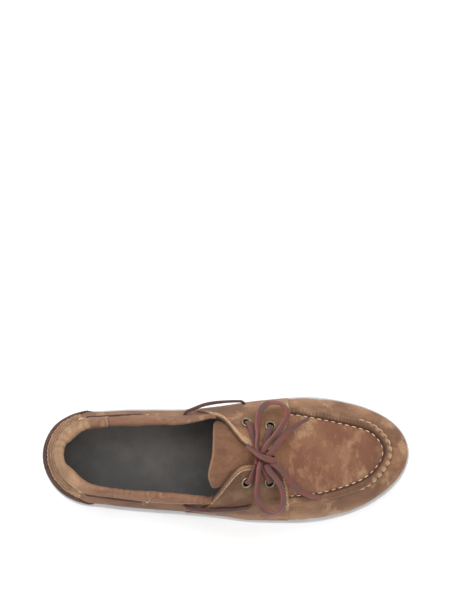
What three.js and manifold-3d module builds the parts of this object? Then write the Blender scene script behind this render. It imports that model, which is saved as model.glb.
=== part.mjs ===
// A two-eye boat shoe for the right foot, in millimetres.
// +Y runs from heel to toe, +X to the outer side of the foot and +Z up. The origin is on the floor, under the
// middle of the shoe's length and width, its bow left out.
import * as THREE from "three";
import { mergeVertices } from "three/addons/utils/BufferGeometryUtils.js";
import Module from "manifold-3d";

const wasm = await Module();
wasm.setup();

// Driving sizes
const soleLength = 292;
const soleWidth = 101;
const heelWidth = 76.5;
const heelRound = 40; // length over which the heel's outline rounds off
const toeRound = 90; // length over which the toe's outline rounds off
const heelThickness = 20;
const foreThickness = 9.5;
const toeSpring = 6;
const archLift = 2.5;
const lip = 1.3; // how far the sole stands out past the upper
const wall = 2; // thickness of the upper's leather
const overlay = 1.8; // thickness of the leather sewn on over the upper
const gap = 0.3; // air between two pieces that touch
const bulgeRise = 20; // height above the sole at which the heel is fullest
const edgeRise = 41; // height of the upper's edge above the sole, at the heel
const instepRise = 78; // height of the instep above the sole, where the tongue ends
const featherInset = 3; // how far the upper draws in where it meets the sole
const lateralLean = 0.19; // how much farther in the toe seam lies on the lateral side
const seamHeight = 2.4; // height of the raised toe seam
const seamHalf = 3.1; // half the width of the raised toe seam
const collarThickness = 7.5;
const collarHeight = 9;
const insoleThickness = 4;
const tongueThickness = 2.2;
const laceThickness = 3;
const eyeletBore = 2.8;
const eyeletWall = 0.5;
const eyeletFlange = 4.3;
const eyeletLip = 0.9;

// How finely the faceted solids follow the shape
const columnsPerSide = 27;
const psiStep = 1e-3;

const LATERAL = 1;
const MEDIAL = -1;

// The sole's plan. Spread is 0 at the heel's width and 1 at the ball's; centre is a share of the sole's width.
const plan = [
  { at: 0, spread: 0, centre: -0.02 },
  { at: 0.137, spread: 0, centre: -0.004 },
  { at: 0.24, spread: 0.19, centre: 0.006 },
  { at: 0.4, spread: 0.35, centre: 0.02 },
  { at: 0.485, spread: 0.56, centre: 0.019 },
  { at: 0.567, spread: 0.83, centre: 0.014 },
  { at: 0.69, spread: 1, centre: 0 },
  { at: 0.85, spread: 1, centre: -0.018 },
  { at: 1, spread: 1, centre: -0.052 },
];

// The upper's sections. Each section rises from the sole past its fullest point to a shoulder, and on to the ridge.
// Bulge, shoulder and ridge are shares of bulgeRise, edgeRise and instepRise, inset is a share of the sole's width,
// and arrive and leave are the slopes in degrees on the two sides of the shoulder.
const sections = [
  { at: 0, bulge: 1, inset: 0.11, shoulder: 1, ridge: 1.2, arrive: 66, leave: 66 },
  { at: 0.1, bulge: 0.85, inset: 0.082, shoulder: 0.93, ridge: 1.17, arrive: 72, leave: 72 },
  { at: 0.25, bulge: 0.68, inset: 0.073, shoulder: 0.79, ridge: 1.1, arrive: 74, leave: 74 },
  { at: 0.36, bulge: 0.68, inset: 0.074, shoulder: 0.82, ridge: 1.03, arrive: 70, leave: 70 },
  { at: 0.455, bulge: 0.68, inset: 0.088, shoulder: 1.04, ridge: 1, arrive: 62, leave: 62 },
  { at: 0.515, bulge: 0.65, inset: 0.103, shoulder: 1.18, ridge: 0.93, arrive: 56, leave: 54 },
  { at: 0.56, bulge: 0.62, inset: 0.112, shoulder: 1.21, ridge: 0.865, arrive: 54, leave: 48 },
  { at: 0.62, bulge: 0.6, inset: 0.118, shoulder: 1.2, ridge: 0.77, arrive: 54, leave: 40 },
  { at: 0.68, bulge: 0.6, inset: 0.13, shoulder: 1.13, ridge: 0.685, arrive: 56, leave: 31 },
  { at: 0.74, bulge: 0.6, inset: 0.15, shoulder: 1.05, ridge: 0.61, arrive: 58, leave: 25 },
  { at: 0.82, bulge: 0.6, inset: 0.168, shoulder: 0.94, ridge: 0.54, arrive: 60, leave: 19 },
  { at: 0.92, bulge: 0.62, inset: 0.174, shoulder: 0.81, ridge: 0.5, arrive: 60, leave: 15 },
  { at: 1, bulge: 0.65, inset: 0.174, shoulder: 0.71, ridge: 0.5, arrive: 58, leave: 14 },
];

// The opening along the ridge, as a share of the way from the ridge to the shoulder: full behind the flaps,
// closing round their corners to the lacing slot, and shut at the slot's front end.
const opening = [
  { at: 0.455, medial: 1, lateral: 1 },
  { at: 0.476, medial: 0.96, lateral: 0.82 },
  { at: 0.496, medial: 0.84, lateral: 0.6 },
  { at: 0.517, medial: 0.6, lateral: 0.37 },
  { at: 0.537, medial: 0.38, lateral: 0.22 },
  { at: 0.557, medial: 0.25, lateral: 0.18 },
  { at: 0.585, medial: 0.2, lateral: 0.18 },
  { at: 0.617, medial: 0.17, lateral: 0.17 },
  { at: 0.636, medial: 0.1, lateral: 0.1 },
  { at: 0.646, medial: 0, lateral: 0 },
];
const openFrom = opening[0].at;
const openTo = opening[opening.length - 1].at;

const RIDGE = 1; // place up the section, from 0 at the sole
const SHOULDER = 0.6;
const BULGE = 0.2;
const overlayFoot = 0.03; // where the pieces sewn on over the upper begin
const heelPivot = 40;
const toePivot = 46;
const pivotBlend = 12;

const leather = { roughness: 0.9, metalness: 0 };
const paints = {
  suede: new THREE.MeshStandardMaterial({ color: 0x9a7252, ...leather }),
  counterSuede: new THREE.MeshStandardMaterial({ color: 0x6a5040, ...leather }),
  rawhide: new THREE.MeshStandardMaterial({ color: 0x7c3d3a, roughness: 0.6, metalness: 0 }),
  rubber: new THREE.MeshStandardMaterial({ color: 0xe4e2dc, roughness: 0.7, metalness: 0 }),
  sock: new THREE.MeshStandardMaterial({ color: 0x4b4845, roughness: 0.95, metalness: 0 }),
  brass: new THREE.MeshStandardMaterial({ color: 0x86785c, roughness: 0.4, metalness: 1 }),
};

const clamp = THREE.MathUtils.clamp;
const lerp = THREE.MathUtils.lerp;
const smooth = THREE.MathUtils.smoothstep;

// One column of a table at a share of the length, on a smooth curve through its rows.
function read(table, name, at) {
  const last = table.length - 1;
  if (at <= table[0].at) return table[0][name];
  if (at >= table[last].at) return table[last][name];
  const i = table.findIndex((row) => row.at > at) - 1;
  const low = table[i];
  const high = table[i + 1];
  const span = high.at - low.at;
  const t = (at - low.at) / span;
  const slope = (k) => {
    const before = table[Math.max(k - 1, 0)];
    const after = table[Math.min(k + 1, last)];
    return ((after[name] - before[name]) / (after.at - before.at)) * span;
  };
  const rest = 1 - t;
  const fromLow = low[name] * (1 + 2 * t) + slope(i) * t;
  const fromHigh = high[name] * (1 + 2 * rest) - slope(i + 1) * rest;
  return fromLow * rest * rest + fromHigh * t * t;
}

// Half the sole's width: a smooth table between two quarter ellipses, one at each end.
function halfWidth(at) {
  const half = lerp(heelWidth, soleWidth, read(plan, "spread", at)) / 2;
  const heel = clamp((at * soleLength) / heelRound, 0, 1);
  const toe = clamp(((1 - at) * soleLength) / toeRound, 0, 1);
  return half * Math.sqrt((1 - (1 - heel) ** 2) * (1 - (1 - toe) ** 2));
}

const centreX = (at) => read(plan, "centre", at) * soleWidth;
const alongY = (at) => (at - 0.5) * soleLength;
const shareOf = (y) => y / soleLength + 0.5;
const toeLift = (at) => toeSpring * clamp((at - 0.74) / 0.26, 0, 1) ** 2;

// Heights of the sole's top and of its underside at a share of the length.
const seat = (at) => lerp(heelThickness, foreThickness, smooth(at, 0.2, 0.66)) + toeLift(at);
const underside = (at) => {
  const arch = smooth(at, 0.26, 0.36) * (1 - smooth(at, 0.42, 0.54));
  return archLift * arch + toeLift(at);
};

// The sole's outline. Psi goes once round it from the heel, by the lateral side first.
function outline(psi) {
  const at = (1 - Math.cos(psi)) / 2;
  const side = Math.sin(psi) >= 0 ? LATERAL : MEDIAL;
  return new THREE.Vector2(centreX(at) + side * halfWidth(at), alongY(at));
}

// A point inside the outline, at an inset square to it.
function insetPoint(psi, inset) {
  const along = outline(psi + psiStep).sub(outline(psi - psiStep)).normalize();
  return outline(psi).addScaledVector(new THREE.Vector2(-along.y, along.x), inset);
}

const psiAt = (side, at) => (side === LATERAL ? 1 : -1) * Math.acos(1 - 2 * clamp(at, 0, 1));

// Places for the columns on one side, evenly spaced along the outline.
function columnPlaces(count) {
  const fine = Array.from({ length: 2001 }, (_, i) => (Math.PI * i) / 2000);
  const along = [0];
  fine.slice(1).forEach((psi, i) => along.push(along[i] + outline(psi).distanceTo(outline(fine[i]))));
  return Array.from({ length: count + 1 }, (_, k) => {
    const wanted = (along[2000] * k) / count;
    return fine[Math.max(0, along.findIndex((d) => d >= wanted - 1e-9))];
  });
}

// Along the opening the columns stand on its own rows.
const openPlaces = opening.map((row) => psiAt(LATERAL, row.at));
const clearOf = (psi) => psi < openPlaces[0] - 0.05 || psi > openPlaces[openPlaces.length - 1] + 0.05;
const sidePlaces = [...columnPlaces(columnsPerSide).filter(clearOf), ...openPlaces].sort((a, b) => a - b);
const ringPlaces = [...sidePlaces, ...sidePlaces.slice(1, -1).reverse().map((psi) => 2 * Math.PI - psi)];

// The same places counted from the heel both ways: medial ones are negative.
const roundHeel = ringPlaces.map((psi) => (psi > Math.PI ? psi - 2 * Math.PI : psi)).sort((a, b) => a - b);

// Holds a station between the two pivots, easing in at each.
function spineStation(station) {
  const ease = (over) => (over <= -pivotBlend ? 0 : over >= pivotBlend ? over : (over + pivotBlend) ** 2 / (4 * pivotBlend));
  const front = soleLength - toePivot;
  const held = heelPivot + ease(station - heelPivot);
  return front - ease(front - held);
}

// Everything about one section of the upper: where it starts in plan, which way it runs, and its anchor points.
function sectionAt(psi) {
  const foot = insetPoint(psi, lip);
  const at = (1 - Math.cos(psi)) / 2;
  const spineAt = spineStation(at * soleLength) / soleLength;
  const spine = new THREE.Vector2(centreX(spineAt), alongY(spineAt));
  const inward = spine.clone().sub(foot);
  const reach = inward.length();
  inward.normalize();
  const bottom = seat(shareOf(foot.y)) + gap;
  const feather = new THREE.Vector2(featherInset, bottom);
  const bulge = new THREE.Vector2(0, bottom + bulgeRise * read(sections, "bulge", at));
  const lean = Math.sin(psi) > 0 ? lateralLean * smooth(at, 0.5, 0.62) * (1 - smooth(at, 0.8, 0.97)) : 0;
  const shoulder = new THREE.Vector2(
    soleWidth * read(sections, "inset", at) * (1 + lean),
    bottom + edgeRise * read(sections, "shoulder", at),
  );
  const ridge = new THREE.Vector2(reach, seat(spineAt) + gap + instepRise * read(sections, "ridge", spineAt));
  const arrive = THREE.MathUtils.degToRad(read(sections, "arrive", at));
  const leave = THREE.MathUtils.degToRad(read(sections, "leave", at));
  return { at, spineAt, foot, inward, reach, feather, bulge, shoulder, ridge, arrive, leave };
}

function bezier(a, b, c, d, t) {
  return new THREE.CubicBezierCurve(a, b, c, d).getPoint(t);
}

// A point of a section, as its inset from the fullest outline and its height.
function sectionPoint(s, v) {
  if (v <= BULGE) {
    const rise = s.bulge.y - s.feather.y;
    const first = new THREE.Vector2(s.feather.x * 0.6, s.feather.y + rise * 0.28);
    const second = new THREE.Vector2(0, s.bulge.y - rise * 0.5);
    return bezier(s.feather, first, second, s.bulge, v / BULGE);
  }
  if (v <= SHOULDER) {
    const handle = 0.38 * s.bulge.distanceTo(s.shoulder);
    const first = new THREE.Vector2(s.bulge.x, s.bulge.y + handle);
    const second = new THREE.Vector2(
      s.shoulder.x - handle * Math.cos(s.arrive),
      s.shoulder.y - handle * Math.sin(s.arrive),
    );
    return bezier(s.bulge, first, second, s.shoulder, (v - BULGE) / (SHOULDER - BULGE));
  }
  const handle = 0.38 * s.shoulder.distanceTo(s.ridge);
  const first = new THREE.Vector2(
    s.shoulder.x + handle * Math.cos(s.leave),
    s.shoulder.y + handle * Math.sin(s.leave),
  );
  const second = new THREE.Vector2(s.ridge.x - handle, s.ridge.y);
  return bezier(s.shoulder, first, second, s.ridge, (v - SHOULDER) / (RIDGE - SHOULDER));
}

function bare(psi, v) {
  const s = sectionAt(psi);
  const p = sectionPoint(s, v);
  return new THREE.Vector3(s.foot.x + s.inward.x * p.x, s.foot.y + s.inward.y * p.x, p.y);
}

// The raised toe seam: a round bead along the shoulder, fading out under the flaps.
function beadAt(psi, v) {
  const s = sectionAt(psi);
  const run = v < SHOULDER ? s.bulge.distanceTo(s.shoulder) : s.shoulder.distanceTo(s.ridge);
  const away = (Math.abs(v - SHOULDER) / 0.4) * run;
  const fade = smooth(s.at, 0.6, 0.66);
  return away >= seamHalf ? 0 : seamHeight * fade * Math.sqrt(1 - (away / seamHalf) ** 2);
}

// Outward direction of the upper's surface. On the ridge both sides share the direction square to it.
function facing(psi, v) {
  if (v >= RIDGE) {
    const { spineAt } = sectionAt(psi);
    const step = 0.004;
    const top = (at) => seat(at) + instepRise * read(sections, "ridge", at);
    const slope = (top(spineAt + step) - top(spineAt - step)) / (2 * step * soleLength);
    return new THREE.Vector3(0, -slope, 1).normalize();
  }
  const held = clamp(v, 0.01, 0.985);
  const round = bare(psi + psiStep, held).sub(bare(psi - psiStep, held));
  const up = bare(psi, held + 0.01).sub(bare(psi, held - 0.01));
  return round.cross(up).normalize();
}

// A point of the upper's outer surface, lifted off it along the surface's direction.
function skin(psi, v, lift, bead = 0) {
  return bare(psi, v).addScaledVector(facing(psi, v), lift + bead);
}

// How far up its section the upper's edge lies: at the shoulder round the collar, beside the slot at the throat,
// and on the ridge in front of it.
function edgePlace(psi) {
  const s = sectionAt(psi);
  if (s.at <= openFrom) return SHOULDER;
  if (s.at >= openTo) return RIDGE;
  const side = Math.sin(psi) > 0 ? "lateral" : "medial";
  return placeAtReach(psi, read(opening, side, s.at) * (s.reach - s.shoulder.x));
}

// The place up a section that lies at a given distance from the ridge in plan.
function placeAtReach(psi, fromRidge) {
  const s = sectionAt(psi);
  let low = SHOULDER;
  let high = RIDGE;
  if (s.reach - sectionPoint(s, low).x < fromRidge) [low, high] = [BULGE, SHOULDER];
  for (let i = 0; i < 40; i++) {
    const middle = (low + high) / 2;
    if (s.reach - sectionPoint(s, middle).x > fromRidge) low = middle;
    else high = middle;
  }
  return high;
}

// The place round and up the surface of a point given by its side, its share of the length and its distance from
// the ridge in plan.
function placeAt(side, at, fromRidge) {
  const psi = psiAt(side, at);
  return { psi, v: placeAtReach(psi, fromRidge) };
}

// Geometry from corner triples. Triangles that have collapsed are left out.
function geometryOf(triangles) {
  const whole = new THREE.BufferGeometry().setFromPoints(triangles.flat());
  whole.deleteAttribute("normal");
  const merged = mergeVertices(whole, 1e-4);
  const index = merged.index.array;
  const kept = [];
  for (let i = 0; i < index.length; i += 3) {
    const [a, b, c] = [index[i], index[i + 1], index[i + 2]];
    if (a !== b && b !== c && c !== a) kept.push(a, b, c);
  }
  return merged.setIndex(enclosed(merged, kept) < 0 ? kept.reverse() : kept);
}

// Six times the volume a set of triangles encloses: negative where their faces point inwards.
function enclosed(geometry, index) {
  const corner = (i) => new THREE.Vector3().fromBufferAttribute(geometry.attributes.position, index[i]);
  let sum = 0;
  for (let i = 0; i < index.length; i += 3) sum += corner(i).dot(corner(i + 1).cross(corner(i + 2)));
  return sum;
}

const quad = (a, b, c, d) => [[a, b, c], [a, c, d]];

// A body whose closed sections follow one another. It is closed into a ring, or capped at both ends.
function loftLoops(loops, ring, skip = () => false) {
  const triangles = [];
  const count = loops[0].length;
  const pairs = ring ? loops.length : loops.length - 1;
  for (let i = 0; i < pairs; i++) {
    const next = (i + 1) % loops.length;
    for (let k = 0; k < count; k++) {
      if (skip(i, next, k)) continue;
      const up = (k + 1) % count;
      triangles.push(...quad(loops[i][k], loops[next][k], loops[next][up], loops[i][up]));
    }
  }
  if (!ring) {
    for (let k = 1; k < count - 1; k++) {
      triangles.push([loops[0][0], loops[0][k], loops[0][k + 1]]);
      const end = loops[loops.length - 1];
      triangles.push([end[0], end[k + 1], end[k]]);
    }
  }
  return geometryOf(triangles);
}

// A sheet of even thickness. Point gives a corner of its grid on the lower or the upper face.
function sheet(across, up, point) {
  const grid = [0, 1].map((face) =>
    Array.from({ length: across + 1 }, (_, i) =>
      Array.from({ length: up + 1 }, (_, k) => point(i / across, k / up, face)),
    ),
  );
  const [low, high] = grid;
  const triangles = [];
  for (let i = 0; i < across; i++) {
    for (let k = 0; k < up; k++) {
      triangles.push(...quad(high[i][k], high[i + 1][k], high[i + 1][k + 1], high[i][k + 1]));
      triangles.push(...quad(low[i][k], low[i][k + 1], low[i + 1][k + 1], low[i + 1][k]));
    }
    triangles.push(...quad(low[i][0], low[i + 1][0], high[i + 1][0], high[i][0]));
    triangles.push(...quad(low[i + 1][up], low[i][up], high[i][up], high[i + 1][up]));
  }
  for (let k = 0; k < up; k++) {
    triangles.push(...quad(low[0][k + 1], low[0][k], high[0][k], high[0][k + 1]));
    triangles.push(...quad(low[across][k], low[across][k + 1], high[across][k + 1], high[across][k]));
  }
  return geometryOf(triangles);
}

function toSolid(geometry) {
  const plain = geometry.index ? geometry.toNonIndexed() : geometry.clone();
  plain.deleteAttribute("normal");
  plain.deleteAttribute("uv");
  const merged = mergeVertices(plain, 1e-4);
  const data = { numProp: 3, vertProperties: merged.attributes.position.array, triVerts: merged.index.array };
  return new wasm.Manifold(new wasm.Mesh({ ...data, triVerts: new Uint32Array(data.triVerts) }));
}

function fromSolid(solid) {
  const { vertProperties, triVerts } = solid.getMesh();
  const geometry = new THREE.BufferGeometry();
  geometry.setAttribute("position", new THREE.BufferAttribute(vertProperties, 3));
  return geometry.setIndex(new THREE.BufferAttribute(triVerts, 1));
}

const shoe = new THREE.Group();

function add(name, geometry, material) {
  geometry.computeVertexNormals();
  const mesh = new THREE.Mesh(geometry, material);
  mesh.name = name;
  shoe.add(mesh);
  return mesh;
}

// The rubber sole: a flat top, a side with a lip and a groove under it, and an underside with wavy grooves cut in.
function outsole() {
  const lipDepth = 3.6;
  const grooveDepth = 0.8;
  const topRows = [0.5, 1];
  const bottomRows = [1, 0.4];
  const loops = ringPlaces.map((psi) => {
    const at = (1 - Math.cos(psi)) / 2;
    const spineAt = spineStation(at * soleLength) / soleLength;
    const spine = new THREE.Vector2(centreX(spineAt), alongY(spineAt));
    const edge = insetPoint(psi, 1.6);
    const top = seat(at);
    const foot = underside(at);
    const rim = (inset, z) => {
      const p = insetPoint(psi, inset);
      return new THREE.Vector3(p.x, p.y, z);
    };
    const inside = (share, height) => {
      const p = edge.clone().lerp(spine, share);
      return new THREE.Vector3(p.x, p.y, height(shareOf(p.y)));
    };
    return [
      rim(1.4, foot),
      rim(0.5, foot + 1.2),
      rim(grooveDepth, top - lipDepth - 0.6),
      rim(grooveDepth, top - lipDepth),
      rim(0, top - lipDepth + 0.5),
      rim(0, top - 0.7),
      rim(0.7, top),
      ...topRows.map((share) => inside(share, seat)),
      ...bottomRows.map((share) => inside(share, underside)),
    ];
  });
  const spineTop = 8;
  const skip = (i, next, k) => k === spineTop;
  let body = toSolid(loftLoops(loops, true, skip));
  for (const groove of treadGrooves()) body = body.subtract(groove);
  return fromSolid(body);
}

// Wavy grooves across the underside, under the heel and under the forefoot.
function treadGrooves() {
  const grooveWidth = 1.6;
  const grooveCut = 1.5;
  const margin = 9;
  const waves = 1.5;
  const waveHeight = 2.2;
  const pitch = 14;
  const stretches = [
    { from: 18, count: 4 },
    { from: 160, count: 6 },
  ];
  return stretches.flatMap(({ from, count }) =>
    Array.from({ length: count }, (_, n) => {
      const at = (from + n * pitch) / soleLength;
      const half = halfWidth(at) - margin;
      const line = (side) =>
        Array.from({ length: 9 }, (_, k) => {
          const t = k / 8;
          const wave = waveHeight * Math.sin(2 * Math.PI * waves * t);
          return new THREE.Vector2(lerp(-half, half, t), wave + (side * grooveWidth) / 2);
        });
      const shape = new THREE.Shape([...line(-1), ...line(1).reverse()]);
      const prism = new THREE.ExtrudeGeometry(shape, { depth: 2 * grooveCut, bevelEnabled: false });
      prism.translate(centreX(at), alongY(at), underside(at) - grooveCut);
      return toSolid(prism);
    }),
  );
}

// The footbed, lying on the sole inside the upper.
function insole() {
  const clear = lip + featherInset + wall + 2 * gap;
  const loops = ringPlaces.map((psi) => {
    const edge = insetPoint(psi, clear);
    const at = (1 - Math.cos(psi)) / 2;
    const spineAt = spineStation(at * soleLength) / soleLength;
    const spine = new THREE.Vector2(centreX(spineAt), alongY(spineAt));
    const place = (share, lift) => {
      const p = edge.clone().lerp(spine, share);
      return new THREE.Vector3(p.x, p.y, seat(shareOf(p.y)) + gap + lift);
    };
    return [place(0, 0), place(0, insoleThickness), place(1, insoleThickness), place(1, 0)];
  });
  const skip = (i, next, k) => k === 2;
  return loftLoops(loops, true, skip);
}

// Places up a section at which the upper's outer face has its rows. The seam's rows lie close together.
function outerPlaces(psi) {
  const s = sectionAt(psi);
  const edge = edgePlace(psi);
  const toSeam = (0.4 * seamHalf) / s.bulge.distanceTo(s.shoulder);
  const pastSeam = (0.4 * seamHalf) / s.shoulder.distanceTo(s.ridge);
  const room = Math.max(edge - SHOULDER, 0);
  const seamEnd = SHOULDER + Math.min(pastSeam, room / 2);
  return [
    0,
    BULGE / 2,
    ...[0, 0.35, 0.7, 1].map((t) => lerp(BULGE, SHOULDER - toSeam, t)),
    SHOULDER - 0.7 * toSeam,
    SHOULDER,
    lerp(SHOULDER, seamEnd, 0.7),
    ...[0, 0.33, 0.66, 1].map((t) => lerp(seamEnd, Math.max(edge, SHOULDER), t)),
  ];
}

// The hollow leather upper: one wall from the sole to its edge, with the raised toe seam in it.
function upper() {
  const columns = ringPlaces.map((psi) => {
    const edge = edgePlace(psi);
    const inside = [1, 0.66, 0.33].map((t) => lerp(SHOULDER, edge, t));
    const below = [SHOULDER, 0.46, 0.33, BULGE, BULGE / 2];
    const outer = outerPlaces(psi).map((v) => skin(psi, v, 0, beadAt(psi, v)));
    const inner = [...inside, ...below].map((v) => skin(psi, v, -wall));
    const last = skin(psi, 0, -wall);
    last.z = seat(shareOf(last.y)) + gap;
    return { edge, loop: [...outer, ...inner, last], rim: outer.length - 1 };
  });
  const closed = (i) => columns[i].edge === RIDGE;
  const skip = (i, next, k) => k === columns[i].rim && closed(i) && closed(next);
  return loftLoops(columns.map((c) => c.loop), true, skip);
}

// A piece sewn on over the upper. It follows the upper's own columns and rows, and a wall of the given plan cuts it
// out: cut gives the place round and up the upper for two shares, along the piece and up it.
function sewnOn(from, to, cut) {
  const first = roundHeel.findLastIndex((psi) => psi < from);
  const last = roundHeel.findIndex((psi) => psi > to);
  const columns = roundHeel.slice(first, last + 1);
  const rows = columns.map((psi) => outerPlaces(psi).slice(1));
  const across = columns.length - 1;
  const up = rows[0].length - 1;
  const band = sheet(across, up, (u, t, face) => {
    const i = Math.round(u * across);
    const v = rows[i][Math.round(t * up)];
    return skin(columns[i], v, gap + face * overlay, beadAt(columns[i], v));
  });
  const cutter = sheet(6, 5, (u, t, face) => {
    const { psi, v } = cut(u, t);
    return skin(psi, v, face ? 3 * overlay : -wall);
  });
  return fromSolid(toSolid(band).intersect(toSolid(cutter)));
}

// A flap of the saddle on one side: it runs from the sole up to the lacing slot and carries two eyelets.
const saddleFoot = { rear: 0.385, front: 0.68 };
const saddleTop = { rear: 0.462, front: 0.625 };
function saddle(side) {
  const ends = [psiAt(side, saddleFoot.rear), psiAt(side, saddleFoot.front)];
  return sewnOn(Math.min(...ends), Math.max(...ends), (u, t) => {
    const topAt = lerp(saddleTop.rear, saddleTop.front, u);
    const footAt = lerp(saddleFoot.rear, saddleFoot.front, u);
    const psi = psiAt(side, lerp(footAt, topAt, t * t));
    return { psi, v: lerp(overlayFoot, Math.min(edgePlace(psi), RIDGE - 0.02) - 0.01, t) };
  });
}

// The counter: a band of darker leather round the outside of the heel.
const counterReach = 0.115;
function counter() {
  const reach = psiAt(LATERAL, counterReach);
  return sewnOn(-reach, reach, (u, t) => ({ psi: reach * (2 * u - 1) * (1 - 0.12 * t), v: lerp(overlayFoot, 0.4, t) }));
}

// The back tab, between the counter and the collar. The side lace goes in under its ends.
const tabReach = 0.1;
function backTab() {
  const reach = psiAt(LATERAL, tabReach);
  return sewnOn(-reach, reach, (u, t) => ({ psi: reach * (2 * u - 1), v: lerp(0.412, 0.585, t) }));
}

// The padded collar: a soft roll that sits on the upper's edge from one end of the opening round the heel.
function collar() {
  const reach = psiAt(LATERAL, openFrom - 0.008);
  const section = [
    [-0.34, 0], [-0.5, 0.3], [-0.5, 0.62], [-0.3, 0.92], [0, 1],
    [0.3, 0.92], [0.5, 0.62], [0.5, 0.25], [0.34, 0],
  ];
  const within = roundHeel.filter((psi) => Math.abs(psi) < reach - 0.03);
  const loops = [-reach, ...within, reach].map((psi) => {
    const out = facing(psi, SHOULDER);
    const up = bare(psi, SHOULDER + 0.02).sub(bare(psi, SHOULDER - 0.02)).normalize();
    const base = bare(psi, SHOULDER).addScaledVector(out, -wall - 1).addScaledVector(up, gap);
    return section.map(([x, z]) => base.clone().addScaledVector(out, -x * collarThickness).addScaledVector(up, z * collarHeight));
  });
  return loftLoops(loops, false);
}

// The tongue: a wide sheet under the flaps, following the instep back past them.
const tongueBack = { at: 0.463, medial: 33, lateral: 25 };
const tongueFront = { at: 0.66, medial: 19, lateral: 19 };
function tongue() {
  const stations = sidePlaces.map((psi) => (1 - Math.cos(psi)) / 2);
  const between = stations.filter((at) => at > tongueBack.at + 0.01 && at < tongueFront.at - 0.01);
  const rows = [tongueBack.at, ...between, tongueFront.at];
  return sheet(12, rows.length - 1, (u, t, face) => {
    const across = 2 * u - 1;
    const side = across < 0 ? MEDIAL : LATERAL;
    const half = (end) => (side === MEDIAL ? end.medial : end.lateral);
    const at = rows[Math.round(t * (rows.length - 1))];
    const share = (at - tongueBack.at) / (tongueFront.at - tongueBack.at);
    const fromRidge = Math.abs(across) * lerp(half(tongueBack), half(tongueFront), Math.sqrt(share));
    const { psi, v } = placeAt(side, at, fromRidge);
    return skin(psi, fromRidge < 1e-6 ? RIDGE : v, -(wall + 5 * gap + (1 - face) * tongueThickness));
  });
}

// The eyelets' places: a share of the length and the distance from the ridge.
const eyelets = [
  { name: "eyelet_medial_rear", side: MEDIAL, at: 0.553, fromRidge: 25.5 },
  { name: "eyelet_medial_front", side: MEDIAL, at: 0.6145, fromRidge: 23 },
  { name: "eyelet_lateral_rear", side: LATERAL, at: 0.55, fromRidge: 18.5 },
  { name: "eyelet_lateral_front", side: LATERAL, at: 0.612, fromRidge: 19 },
];

// Puts a geometry made along +Y on the upper's surface, standing square to it.
function standOn(geometry, { side, at, fromRidge }, lift) {
  const { psi, v } = placeAt(side, at, fromRidge);
  const turn = new THREE.Quaternion().setFromUnitVectors(new THREE.Vector3(0, 1, 0), facing(psi, v));
  const place = skin(psi, v, lift);
  return geometry.applyMatrix4(new THREE.Matrix4().compose(place, turn, new THREE.Vector3(1, 1, 1)));
}

function eyelet(where) {
  const top = gap + overlay + gap;
  const outer = eyeletBore + eyeletWall;
  const profile = [
    [eyeletBore, -wall],
    [outer, -wall],
    [outer, top],
    [eyeletFlange, top],
    [eyeletFlange - 0.3, top + 0.7 * eyeletLip],
    [outer, top + eyeletLip],
    [eyeletBore, top + 0.7 * eyeletLip],
    [eyeletBore, -wall],
  ];
  const ring = new THREE.LatheGeometry(profile.map(([x, y]) => new THREE.Vector2(x, y)), 12);
  return standOn(ring, where, 0);
}

function eyeletHole(where) {
  const drill = new THREE.CylinderGeometry(eyeletBore + eyeletWall + gap, eyeletBore + eyeletWall + gap, 12, 16);
  return toSolid(standOn(drill, where, 0));
}

const holed = (geometry, wheres) =>
  fromSolid(wheres.reduce((body, where) => body.subtract(eyeletHole(where)), toSolid(geometry)));

// The skin's place over a point of the plan.
function placeOver(x, y) {
  const spineX = centreX(shareOf(y));
  const side = x >= spineX ? LATERAL : MEDIAL;
  const target = new THREE.Vector2(x, y);
  let low = 0.2;
  let high = 0.9;
  for (let i = 0; i < 40; i++) {
    const middle = (low + high) / 2;
    const s = sectionAt(psiAt(side, middle));
    if (side * s.inward.cross(target.clone().sub(s.foot)) > 0) high = middle;
    else low = middle;
  }
  const psi = psiAt(side, high);
  const s = sectionAt(psi);
  return { psi, v: placeAtReach(psi, s.reach - s.inward.dot(target.clone().sub(s.foot))) };
}

// A round cord through the given points.
function cord(points, steps) {
  const path = new THREE.CatmullRomCurve3(points, false, "centripetal");
  const round = new THREE.Shape().absarc(0, 0, laceThickness / 2, 0, 2 * Math.PI);
  return new THREE.ExtrudeGeometry(round, { extrudePath: path, steps, curveSegments: 4, bevelEnabled: false });
}

// A point over the flaps: shares of the sole's length and width, and a height over the leather in lace thicknesses.
function overFlaps({ at, x, lift }) {
  const y = alongY(at);
  const { psi, v } = placeOver(x * soleWidth, y);
  const skinTop = bare(psi, v).z + gap + overlay + gap + eyeletLip;
  return new THREE.Vector3(x * soleWidth, y, skinTop + (lift + 0.5) * laceThickness);
}

// Two strands that cross on the slot, each from one rear eyelet to the front eyelet on the other side.
const crossing = { at: 0.588, x: 0.03, lift: 0.7 };
function bars() {
  const end = ({ side, at, fromRidge }, lift) => {
    const { psi, v } = placeAt(side, at, fromRidge);
    return skin(psi, v, gap + overlay + gap + eyeletLip + 4 * gap + (lift + 0.5) * laceThickness);
  };
  const strand = (from, to) => {
    const middle = overFlaps(crossing);
    const halfway = (p) => {
      const { x, y } = p.clone().lerp(middle, 0.5);
      return overFlaps({ at: shareOf(y), x: x / soleWidth, lift: 0.35 });
    };
    const start = end(from, 0);
    const finish = end(to, 0);
    return toSolid(cord([start, halfway(start), middle, halfway(finish), finish], 14));
  };
  return fromSolid(strand(eyelets[0], eyelets[3]).add(strand(eyelets[2], eyelets[1])));
}

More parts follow.
